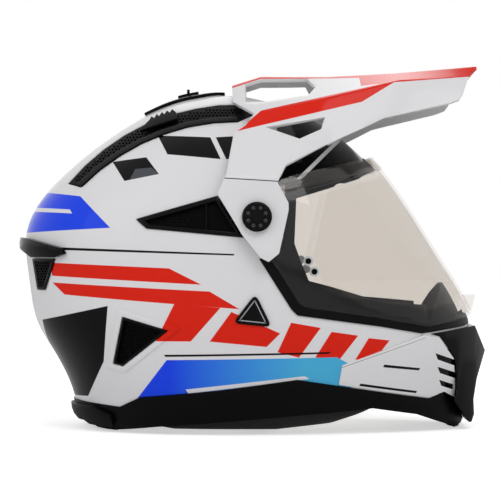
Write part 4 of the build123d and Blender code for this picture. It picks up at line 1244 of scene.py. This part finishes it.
# %% Colours
def linear(hex_code):
    """Linear colour of an sRGB hex: low values are divided by 12.92, the others follow a 2.4 power."""
    parts = np.array([int(hex_code[i : i + 2], 16) / 255 for i in (1, 3, 5)])
    low = parts / 12.92
    high = ((parts + 0.055) / 1.055) ** 2.4
    return (*np.where(parts <= 0.04045, low, high).tolist(), 1.0)


white, black, red, royal, cyan, grey = (
    linear(code) for code in ("#e4e3e5", "#050506", "#e02310", "#1a46ee", "#4db3e0", "#4c4f54")
)
print("the white paint as linear:", [round(part, 3) for part in white[:3]])

# %% [markdown]
# Foam
# The liner is expanded polystyrene: beads that swelled in the mould until they touched, which show as
# shallow pits with a dull, chalky shine. A material is a tree of nodes, and it could be wired by hand
# in the shader editor. One small function adds a node with its settings and links, so that each
# material reads like a recipe. Every pattern starts from the piece's own coordinates in metres, and
# its scale is one over the real size.


# %% Nodes, and expanded polystyrene
def add_node(tree, kind, inputs=None, out=0, **settings):
    """Adds a shader node with its settings. An input is a value, or an output that is linked to it.
    Gives back one of its outputs, by number or name."""
    node = tree.nodes.new("ShaderNode" + kind)
    for name, value in settings.items():
        setattr(node, name, value)
    for name, value in (inputs or {}).items():
        if isinstance(value, bpy.types.NodeSocket):
            tree.links.new(value, node.inputs[name])
        else:
            node.inputs[name].default_value = value
    return node.outputs[out] if node.outputs else None


def new_material(name):
    """An empty material, its node tree, and the piece's own coordinates in metres."""
    material = bpy.data.materials.new(name)
    material.use_nodes = True
    tree = material.node_tree
    tree.nodes.clear()
    return material, tree, add_node(tree, "TexCoord", out="Object")


def foam():
    """Expanded polystyrene: swollen beads, three millimetres wide, pressed together."""
    material, tree, place = new_material("expanded_polystyrene")
    beads = add_node(tree, "TexVoronoi", {"Vector": place, "Scale": 1 / (3 * mm)}, out="Distance")
    tone = add_node(tree, "TexNoise", {"Vector": place, "Scale": 1 / (30 * mm)})
    shader = add_node(tree, "BsdfPrincipled", {
        "Base Color": add_node(
            tree, "Mix", {0: tone, 6: linear("#17181a"), 7: linear("#222327")}, out=2, data_type="RGBA",
        ),
        "Roughness": 0.8,
        "Normal": add_node(
            tree, "Bump", {"Height": beads, "Distance": 0.15 * mm, "Strength": 0.5}, invert=True,
        ),
    })
    add_node(tree, "OutputMaterial", {"Surface": shader})
    return material


finishes = {}


def keep(finish, material):
    """Keeps a material under the name that the pieces' finishes go by."""
    finishes[finish] = material
    print(material.name, "has", len(material.node_tree.nodes), "nodes")


keep("foam_liner", foam())

# %% [markdown]
# Cloth
# The pads are covered in brushed polyester knit, and the chin strap is woven polyester webbing. Real
# loops could be modelled for a close-up. From here cloth shows as a soft sheen at its edges, with a
# fine net or ribs in its shade, which a bump and the sheen of the shader give. The loops are drawn
# a little coarser than real ones, which would be too fine to show.


# %% Knit
def knit():
    """Brushed knit over foam: a fine net of loops, and soft folds under it, with painted shade in their low
    parts.
    """
    material, tree, place = new_material("brushed_polyester_knit")
    loops = add_node(
        tree, "TexVoronoi", {"Vector": place, "Scale": 1 / (1.1 * mm), "Randomness": 0.35}, out="Distance",
    )
    folds_and_shade = add_node(tree, "TexNoise", {"Vector": place, "Scale": 1 / (22 * mm), "Detail": 3})
    height = add_node(tree, "Math", {0: folds_and_shade, 1: 3.0, 2: loops}, operation="MULTIPLY_ADD")
    shader = add_node(tree, "BsdfPrincipled", {
        # the colour darkens where the folds lie low: painted shade in the folds
        "Base Color": add_node(
            tree, "Mix", {0: folds_and_shade, 6: linear("#0b0c0e"), 7: linear("#16171a")}, out=2, data_type="RGBA",
        ),
        "Roughness": 0.85, "Sheen Weight": 0.25, "Sheen Roughness": 0.4,
        "Normal": add_node(tree, "Bump", {"Height": height, "Distance": 0.1 * mm, "Strength": 0.5}),
    })
    add_node(tree, "OutputMaterial", {"Surface": shader})
    return material


keep("pad_fabric", knit())


# %% Webbing
def webbing():
    """Woven tape: ribs across it, crossed by a fine twill."""
    material, tree, place = new_material("polyester_webbing")
    ribs = add_node(tree, "TexWave", {"Vector": place, "Scale": 0.5 / (1.6 * mm), "Distortion": 0.3}, out=1)
    twill = add_node(tree, "TexNoise", {"Vector": place, "Scale": 1 / (0.8 * mm)})
    height = add_node(tree, "Math", {0: twill, 1: 0.4, 2: ribs}, operation="MULTIPLY_ADD")
    shader = add_node(tree, "BsdfPrincipled", {
        "Base Color": linear("#141518"), "Roughness": 0.75, "Sheen Weight": 0.2,
        "Normal": add_node(tree, "Bump", {"Height": height, "Distance": 0.3 * mm}),
    })
    add_node(tree, "OutputMaterial", {"Surface": shader})
    return material


keep("webbing", webbing())

# %% [markdown]
# Plated metal
# The buckle's lever and the rivets are steel under nickel, and the ring round the button is chromed
# ABS. A picture of a brushed sheet could be wrapped round them. They are too small to show more than a
# grey mirror with a fine grain, so a noise that is stretched across the height gives the grain.


# %% Plated metal
def plated(name, code, rough):
    """Plated metal with a fine brushed grain that runs across the helmet's height."""
    material, tree, place = new_material(name)
    stretched = add_node(tree, "VectorMath", {0: place, 1: (1, 1, 14)}, operation="MULTIPLY")
    grain = add_node(tree, "TexNoise", {"Vector": stretched, "Scale": 1 / (1.5 * mm), "Detail": 3})
    shader = add_node(tree, "BsdfPrincipled", {
        "Base Color": linear(code), "Metallic": 1.0,
        "Roughness": add_node(tree, "MapRange", {"Value": grain, "To Min": rough, "To Max": rough + 0.12}),
        "Normal": add_node(tree, "Bump", {"Height": grain, "Distance": 0.01 * mm}),
    })
    add_node(tree, "OutputMaterial", {"Surface": shader})
    return material


keep("steel", plated("nickel_plated_steel", "#b9bcc0", 0.25))
keep("silver_trim", plated("chromed_abs", "#a8abb0", 0.22))

# %% [markdown]
# Black plastics
# Black pieces differ only in how they mirror light, and that tells the eye what they are. Nylon
# covers leave a polished mould and shine. Polypropylene trim is satin. The vents' mould is textured by
# spark erosion, which turns every highlight into a dull grey glow. The gasket is EPDM rubber, which
# picks up dust and is never quite black. Each could have a tree of its own. One function with the
# grain's size and depth, the roughness and the strength of the shine shows how they differ.


# %% Black plastics
def black_plastic(name, code, grain_size, depth, rough, level, sheen=0.0):
    """A black moulding: grain of one size and depth, and wear that spreads the roughness."""
    material, tree, place = new_material(name)
    grain = add_node(
        tree, "TexNoise", {"Vector": place, "Scale": 1 / grain_size, "Detail": 3, "Roughness": 0.6},
    )
    wear = add_node(tree, "TexNoise", {"Vector": place, "Scale": 1 / (40 * mm), "Detail": 4})
    shader = add_node(tree, "BsdfPrincipled", {
        "Base Color": linear(code), "Specular IOR Level": level, "Sheen Weight": sheen,
        "Roughness": add_node(tree, "MapRange", {"Value": wear, "To Min": rough[0], "To Max": rough[1]}),
        "Normal": add_node(tree, "Bump", {"Height": grain, "Distance": depth}),
    })
    add_node(tree, "OutputMaterial", {"Surface": shader})
    return material


black_recipes = {
    # sharp highlights on a hardly wavy surface
    "black_gloss": ("polished_nylon", "#060607", 2.5 * mm, 0.01 * mm, (0.12, 0.22), 0.1),
    # wide, soft highlights
    "satin_black": ("satin_polypropylene", "#060607", 1.5 * mm, 0.02 * mm, (0.36, 0.48), 0.08),
    # no highlight, only a dull glow
    "black_matte": ("grained_polypropylene", "#060607", 0.7 * mm, 0.06 * mm, (0.42, 0.6), 0.04),
    # grey painted highlight: it stands in for the light that the knobs' dimples catch
    "dimple_highlight_grey": ("glass_filled_nylon", "#38393b", 0.8 * mm, 0.03 * mm, (0.3, 0.42), 0.2),
    # dusty, with a trace of sheen at its edges
    "gasket_rubber": ("epdm_rubber", "#0a0a0b", 0.5 * mm, 0.03 * mm, (0.38, 0.62), 0.08, 0.02),
}
for finish, recipe in black_recipes.items():
    keep(finish, black_plastic(*recipe))

# %% [markdown]
# Clear plastics
# The shield is clear polycarbonate, the lens an acetate film with a faint haze, and the sun visor is
# smoked. They let light through and mirror more of it the flatter it strikes. Real refraction could
# be rendered, but through a thin wall it moves hardly anything and takes many more samples. So light
# passes straight, with the Fresnel curve as the share of the mirror. The back of a face mirrors
# nothing, or the light inside the wall would look trapped in it.


# %% Clear plastics
def clear_sheet(name, code, rough, share):
    """A clear sheet: see-through, with a share of mirror that grows edge-on, and a trace of smears."""
    material, tree, place = new_material(name)
    smears = add_node(tree, "TexNoise", {"Vector": place, "Scale": 1 / (40 * mm), "Detail": 4})
    waves = add_node(tree, "TexNoise", {"Vector": place, "Scale": 1 / (90 * mm), "Detail": 1})
    shine = add_node(tree, "BsdfGlossy", {
        "Color": linear("#ffffff"),
        "Roughness": add_node(tree, "MapRange", {"Value": smears, "To Min": rough, "To Max": rough + 0.05}),
        "Normal": add_node(tree, "Bump", {"Height": waves, "Distance": 0.05 * mm}),
    })
    clear = add_node(tree, "BsdfTransparent", {"Color": linear(code)})
    mirror = add_node(tree, "Fresnel", {"IOR": 1.58})
    backfacing = add_node(tree, "NewGeometry", out="Backfacing")
    front = add_node(tree, "MapRange", {"Value": backfacing, "To Min": share, "To Max": 0.0})
    mirror = add_node(tree, "Math", {0: mirror, 1: front}, operation="MULTIPLY")
    mixed = add_node(tree, "MixShader", {0: mirror, 1: clear, 2: shine})
    add_node(tree, "OutputMaterial", {"Surface": mixed})
    return material


keep("clear_shield", clear_sheet("clear_polycarbonate", "#f4f2f0", 0.03, 0.5))
keep("lens_film", clear_sheet("antifog_acetate_film", "#faf9f7", 0.05, 0.4))
keep("tinted_visor", clear_sheet("smoked_polycarbonate", "#555559", 0.03, 0.6))

# %% [markdown]
# Painted shapes
# The artwork on such a shell is cut from coloured film or masked and sprayed, so it is made of flat
# shapes with crisp sides. It could be a picture laid on the shell, but a picture turns soft up close.
# Each shape is a convex outline in the side view instead, and the shader measures how far inside it
# a point of the surface lies. A few black shapes are painted shade, where vents and louvres would show
# the shade behind them.


# %% Painted shapes
edge_softness = 0.15 * mm


def painted_shape(tree, x, z, corners):
    """1 inside a convex shape of the side view, 0 outside: the least distance to its sides, cut off."""
    corners = np.array(corners, float) * mm
    area = np.sum(corners[:, 0] * np.roll(corners[:, 1], -1) - np.roll(corners[:, 0], -1) * corners[:, 1])
    least = None
    for start, end in zip(corners, np.roll(corners, -1, axis=0)):
        along = (end - start) / np.linalg.norm(end - start) * np.sign(area)
        normal = np.array([-along[1], along[0]])
        distance = add_node(
            tree, "Math", {0: x, 1: normal[0], 2: -float(normal @ start)}, operation="MULTIPLY_ADD",
        )
        distance = add_node(tree, "Math", {0: z, 1: normal[1], 2: distance}, operation="MULTIPLY_ADD")
        if least is None:
            least = distance
        else:
            least = add_node(tree, "Math", {0: least, 1: distance}, operation="MINIMUM")
    soft_edge = {"Value": least, "From Min": -edge_softness, "From Max": edge_softness}
    return add_node(tree, "MapRange", soft_edge)


def painted(tree, place, colour, shapes):
    """A colour with shapes painted over it, each a colour and its convex corners in the side view."""
    x = add_node(tree, "SeparateXYZ", {"Vector": place}, out="X")
    z = x.node.outputs["Z"]
    for paint, corners in shapes:
        share = painted_shape(tree, x, z, corners)
        colour = add_node(tree, "Mix", {0: share, 6: colour, 7: paint}, out=2, data_type="RGBA")
    return colour


print("a shape's edge fades over", round(2 * edge_softness / mm, 2), "mm")

# %% [markdown]
# Lacquered fibreglass
# The shell is sprayed white, decorated, and covered with clear lacquer: a deep gloss that shows the
# lamps as soft-edged highlights, with a faint orange peel. It could be a plain glossy shader. The coat
# layer keeps the highlight crisp over a duller paint, as lacquer does. A band along the lower edge
# fades from royal blue to cyan, and black painted shade darkens the shell behind the louvres of the
# chin and the gap by the mask.


# %% Lacquer
peel_size, smudge_size = 2.5 * mm, 60 * mm


def lacquer(tree, place, colour, level=0.06, coat=0.12):
    """A lacquered surface: a faint orange peel under a clear coat, and smudges in the roughness."""
    smudge = add_node(tree, "TexNoise", {"Vector": place, "Scale": 1 / smudge_size, "Detail": 4})
    peel = add_node(tree, "TexNoise", {"Vector": place, "Scale": 1 / peel_size, "Detail": 1})
    shader = add_node(tree, "BsdfPrincipled", {
        "Base Color": colour, "Specular IOR Level": level, "Coat Weight": coat, "Coat Roughness": 0.04,
        "Roughness": add_node(tree, "MapRange", {"Value": smudge, "To Min": 0.15, "To Max": 0.25}),
        "Normal": add_node(tree, "Bump", {"Height": peel, "Distance": 0.02 * mm, "Strength": 0.5}),
    })
    add_node(tree, "OutputMaterial", {"Surface": shader})


print("the orange peel is", peel_size / mm, "mm wide, the smudges are", smudge_size / mm, "mm")

# %% Livery and painted shade
livery_and_vent_shade = [
    (black, [[(-70, 224), (-62, 209), (-22, 205), (-30, 222)], [(-26, 222), (-18, 205), (8, 205), (8, 224)],
             [(20, 184), (20, 240), (110, 240), (110, 211)],
             [(-104, 204), (-78, 207), (-68, 194), (-94, 189)],
             [(-160, 84), (-106, 96), (-110, 54), (-124, 26), (-150, 24)],
             [(-142, 139.5), (-12, 134.6), (-12, 133.4), (-142, 137.5)],
             # black painted shade under the rear vent's hood, so that its grille shows dark
             [(-168, 131), (-148.2, 131), (-157, 107.5), (-164, 107.5)]]),
    (white, [[(34, 190), (38, 190), (88, 240), (84, 240)]]),
    (grey, [[(-86, 198), (-74, 199), (-68, 194), (-90, 190)]]),
    (royal, [[(-190, 186), (-128, 178), (-104, 154), (-190, 150)]]),
    (white, [[(-190, 172), (-136, 168), (-134, 165), (-190, 168.5)]]),
    (red, [[(-152, 128), (-60, 124), (-36, 112), (-150, 118)],
           [(-150, 113), (-30, 107), (-8, 94), (-140, 104)],
           [(-56, 98), (-22, 95), (-44, 70), (-70, 70)], [(-14, 92), (22, 76), (12, 66), (-30, 70)],
           [(30, 84), (52, 80), (36, 58), (20, 62)], [(60, 77), (80, 74), (66, 56), (48, 58)],
           [(88, 72), (104, 70), (92, 55), (78, 56)]]),
]
lower_band = [(-88, 22), (-62, 56), (64, 58), (90, 44), (60, 26), (-20, 18)]
band_blades = [
    (black, [(-64, 60), (60, 62), (58, 60.6), (-63, 58.4)]),
    (white, [(-48, 34), (40, 44), (44, 42), (-46, 31)]),
]
# black painted shade on the shell: it darkens what shows through the chin panel's slots and the gap between
# the mask and the trim
louvre_shade = [
    (black, [(136, 64), (170, 60), (170, 22), (140, 28)]),
    (black, [(148, 34), (190, 60), (190, -5), (146, 20)]),
]
print("painted shapes on the shell:", sum(len(group) for _, group in livery_and_vent_shade))


# %% Shell paint
def shell_paint():
    """White lacquer with the painted shapes and painted shade, and the band whose blue fades along the
    side.
    """
    material, tree, place = new_material("lacquered_fibreglass")
    colour = painted(tree, place, white, [(paint, corners) for paint, group in livery_and_vent_shade for corners in group])
    x = add_node(tree, "SeparateXYZ", {"Vector": place}, out="X")
    fade = add_node(tree, "MapRange", {"Value": x, "From Min": -60 * mm, "From Max": 40 * mm})
    gradient = add_node(tree, "Mix", {0: fade, 6: royal, 7: cyan}, out=2, data_type="RGBA")
    colour = painted(tree, place, colour, [(gradient, lower_band), *band_blades, *louvre_shade])
    lacquer(tree, place, colour)
    return material


keep("shell_paint", shell_paint())

# %% [markdown]
# Lacquered ABS
# The chin panels and the peak are moulded in ABS and take the same lacquer, so they look like the
# shell, only their folds are crisper. One material could serve all three. Each has its own, because
# the painted shapes are drawn in the side view, where the pieces lie over each other.


# %% Panel and peak paint
panel_lines_and_shade = [
    (black, [(100, 52), (128, 48.5), (127, 46.8), (99, 50)]),
    (black, [(82, 38), (126, 31), (125, 29.4), (81, 36.2)]),
    (grey, [(68, 50.6), (132, 71.6), (132, 71.3), (68, 50.2)]),
    # black painted shade at the panel's front corner, where the gap between the mask and the trim lies
    (black, [(157.2, 60), (170, 60), (170, 10), (157.2, 10)]),
]
peak_shapes = [
    (red, [(-10, 226), (8, 242), (112, 266.5), (84, 249), (40, 238)]),
    (red, [(-36, 256), (8, 270.4), (8, 300), (-36, 300)]),
    (red, [(8, 270.4), (84, 270.6), (84, 300), (8, 300)]),
    (red, [(84, 262), (84, 300), (190, 300), (190, 272.5)]),
    # a dark line painted along the arm's seam: painted shade of its groove
    (black, [(-26, 190.8), (30, 187.4), (30, 186.7), (-26, 190.1)]),
]


def painted_abs(name, shapes):
    """White lacquer on moulded plastic, with shapes painted on it."""
    material, tree, place = new_material(name)
    lacquer(tree, place, painted(tree, place, white, shapes))
    return material


keep("panel_paint", painted_abs("lacquered_abs_panel", panel_lines_and_shade))
keep("peak_paint", painted_abs("lacquered_abs_peak", peak_shapes))

# %% [markdown]
# Bare ABS
# The inner side of the peak is left as it comes out of the mould: white, but duller than the lacquer
# and a little uneven in tone. It could be the lacquer with a higher roughness. A grain of its own and
# a wandering tone tell the eye that nothing was sprayed there.


# %% Bare plastic
def bare_abs():
    """Unpainted moulded plastic: a fine grain, and a tone that wanders a little."""
    material, tree, place = new_material("bare_abs")
    grain = add_node(tree, "TexNoise", {"Vector": place, "Scale": 1 / (0.8 * mm), "Detail": 3})
    tone = add_node(tree, "TexNoise", {"Vector": place, "Scale": 1 / (40 * mm), "Detail": 3})
    shader = add_node(tree, "BsdfPrincipled", {
        "Base Color": add_node(
            tree, "Mix", {0: tone, 6: linear("#dddcdc"), 7: linear("#e8e7e7")}, out=2, data_type="RGBA",
        ),
        "Roughness": add_node(tree, "MapRange", {"Value": tone, "To Min": 0.45, "To Max": 0.6}),
        "Specular IOR Level": 0.1,
        "Normal": add_node(tree, "Bump", {"Height": grain, "Distance": 0.03 * mm}),
    })
    add_node(tree, "OutputMaterial", {"Surface": shader})
    return material


keep("bare_abs", bare_abs())

# %% [markdown]
# Finishes on the pieces
# On the bench each moulding arrives in its own finish, and some have two, such as the painted shell
# with its black inner side. Materials could be dragged on to the pieces one by one. A table does it
# here, and the pieces that are shown as the model has them get theirs in the same way.


# %% Finishes on the pieces
def give(piece, *materials):
    """Puts materials in a piece's slots. Which face has which slot stays as it is."""
    slots = material_slots(piece)
    piece.data.materials.clear()
    for material in materials:
        piece.data.materials.append(material)
    piece.data.polygons.foreach_set("material_index", np.minimum(slots, len(materials) - 1))


for piece, names in piece_finish.items():
    give(bpy.data.objects[piece], *(finishes[name] for name in names))
plain_pieces = {
    "impact_liner": "foam_liner", "chin_bar_liner": "foam_liner", "sun_visor": "tinted_visor",
    "chin_vent_mesh": "black_matte", "chin_vent_shutter": "black_matte",
    "centre_vent_slider": "black_matte", "pivot_hub_left": "black_matte",
    "pivot_hub_right": "black_matte", "chin_strap_left": "webbing", "chin_strap_right": "webbing",
    "strap_rivets": "steel", "buckle_base": "black_matte", "ratchet_tongue": "black_matte",
    "buckle_lever": "steel",
}
for name, finish in plain_pieces.items():
    give(nodes[name], finishes[finish])
print(len(finishes), "materials on", len(piece_finish) + len(plain_pieces), "pieces")

# %% [markdown]
# The floor
# The helmet stands on a sheet of painted board, pale and dull, that takes its shadow. The floor could
# be hidden and the background left white, but then the helmet would float. A little light of its own,
# seen by the camera alone, lifts the board to the white of the background around it.

# %% Floor
floor_level = -1 * mm
corners = [(-6, -4, floor_level), (6, -4, floor_level), (6, 8, floor_level), (-6, 8, floor_level)]
floor = new_piece("floor", corners, [(0, 1, 2, 3)])
floor_material, floor_tree, floor_place = new_material("painted_board")
speckle = add_node(floor_tree, "TexNoise", {"Vector": floor_place, "Scale": 1 / (200 * mm), "Detail": 3})
board_tone = {0: speckle, 6: linear("#f3f3f3"), 7: linear("#f8f8f8")}
seen_directly = add_node(floor_tree, "LightPath", out="Is Camera Ray")
board = add_node(floor_tree, "BsdfPrincipled", {
    "Base Color": add_node(floor_tree, "Mix", board_tone, out=2, data_type="RGBA"), "Roughness": 0.9,
    "Specular IOR Level": 0.1, "Emission Color": linear("#ffffff"),
    "Emission Strength": add_node(floor_tree, "Math", {0: seen_directly, 1: 0.55}, operation="MULTIPLY"),
})
add_node(floor_tree, "OutputMaterial", {"Surface": board})
give(floor, floor_material)
print("the board is", round(floor.dimensions.x), "by", round(floor.dimensions.y), "m")

# %% [markdown]
# The world
# In a studio the walls light the product as much as the lamps do. A picture of a studio could be used.
# A plain white world is enough, as it is white where it is seen, mirrored or looked at through the
# shield. As a light it is half as strong, so that a colour renders about as it is written.

# %% World
bpy.context.scene.view_settings.view_transform = "Standard"
world = bpy.data.worlds.new("studio")
bpy.context.scene.world = world
world.use_nodes = True
sky = world.node_tree
sky.nodes.clear()
camera_ray = add_node(sky, "LightPath", out="Is Camera Ray")
ray_kinds = camera_ray.node.outputs
seen = add_node(sky, "Math", {0: camera_ray, 1: ray_kinds["Is Transmission Ray"]}, operation="MAXIMUM")
seen = add_node(sky, "Math", {0: seen, 1: ray_kinds["Is Glossy Ray"]}, operation="MAXIMUM")
lit = add_node(sky, "Background", {"Color": linear("#ffffff"), "Strength": 0.5})
backdrop = add_node(sky, "Background", {"Color": linear("#ffffff"), "Strength": 1.0})
add_node(sky, "OutputWorld", {"Surface": add_node(sky, "MixShader", {0: seen, 1: lit, 2: backdrop})})
print("the world has", len(sky.nodes), "nodes")

# %% [markdown]
# Lamps
# Large soft lamps give wide highlights and open shadows. Small lamps would show every facet but
# leave hard black shadows under the peak. The key stands ahead of the camera, a fill at the rear
# quarter and a weak lamp behind.


# %% Lamps
def soft_light(name, place, aim, width, height, power):
    """An area light that faces a point."""
    data = bpy.data.lights.new(name, "AREA")
    data.shape = "RECTANGLE"
    data.size, data.size_y = width, height
    data.energy = power
    lamp = bpy.data.objects.new(name, data)
    bpy.context.scene.collection.objects.link(lamp)
    lamp.location = place
    lamp.rotation_euler = (Vector(aim) - Vector(place)).to_track_quat("-Z", "Y").to_euler()
    print(name, "lamp:", power, "W")


centre_of_helmet = (0, 0, 0.14)
soft_light("key", (0.5, -1.3, 1.5), centre_of_helmet, 1.2, 0.8, 10.5)
soft_light("fill", (-1.4, -1.0, 0.8), centre_of_helmet, 1.0, 1.2, 4.5)
soft_light("back", (0.3, 1.5, 1.2), centre_of_helmet, 1.4, 0.8, 3)

# %% [markdown]
# Camera
# The camera stands level with the middle of the helmet, 1.7 metres to its right. Closer, with a wider
# lens, the peak would look larger than the nape. This far away both keep their proportions.

# %% Camera
camera_data = bpy.data.cameras.new("camera")
camera_data.lens = 155
camera_data.sensor_width = 36
camera = bpy.data.objects.new("camera", camera_data)
bpy.context.scene.collection.objects.link(camera)
camera.location = (-0.0003, -1.7, 0.1375)
camera.rotation_euler = (math.pi / 2, 0, 0)
bpy.context.scene.camera = camera
print("the camera is", -camera.location.y, "m away")
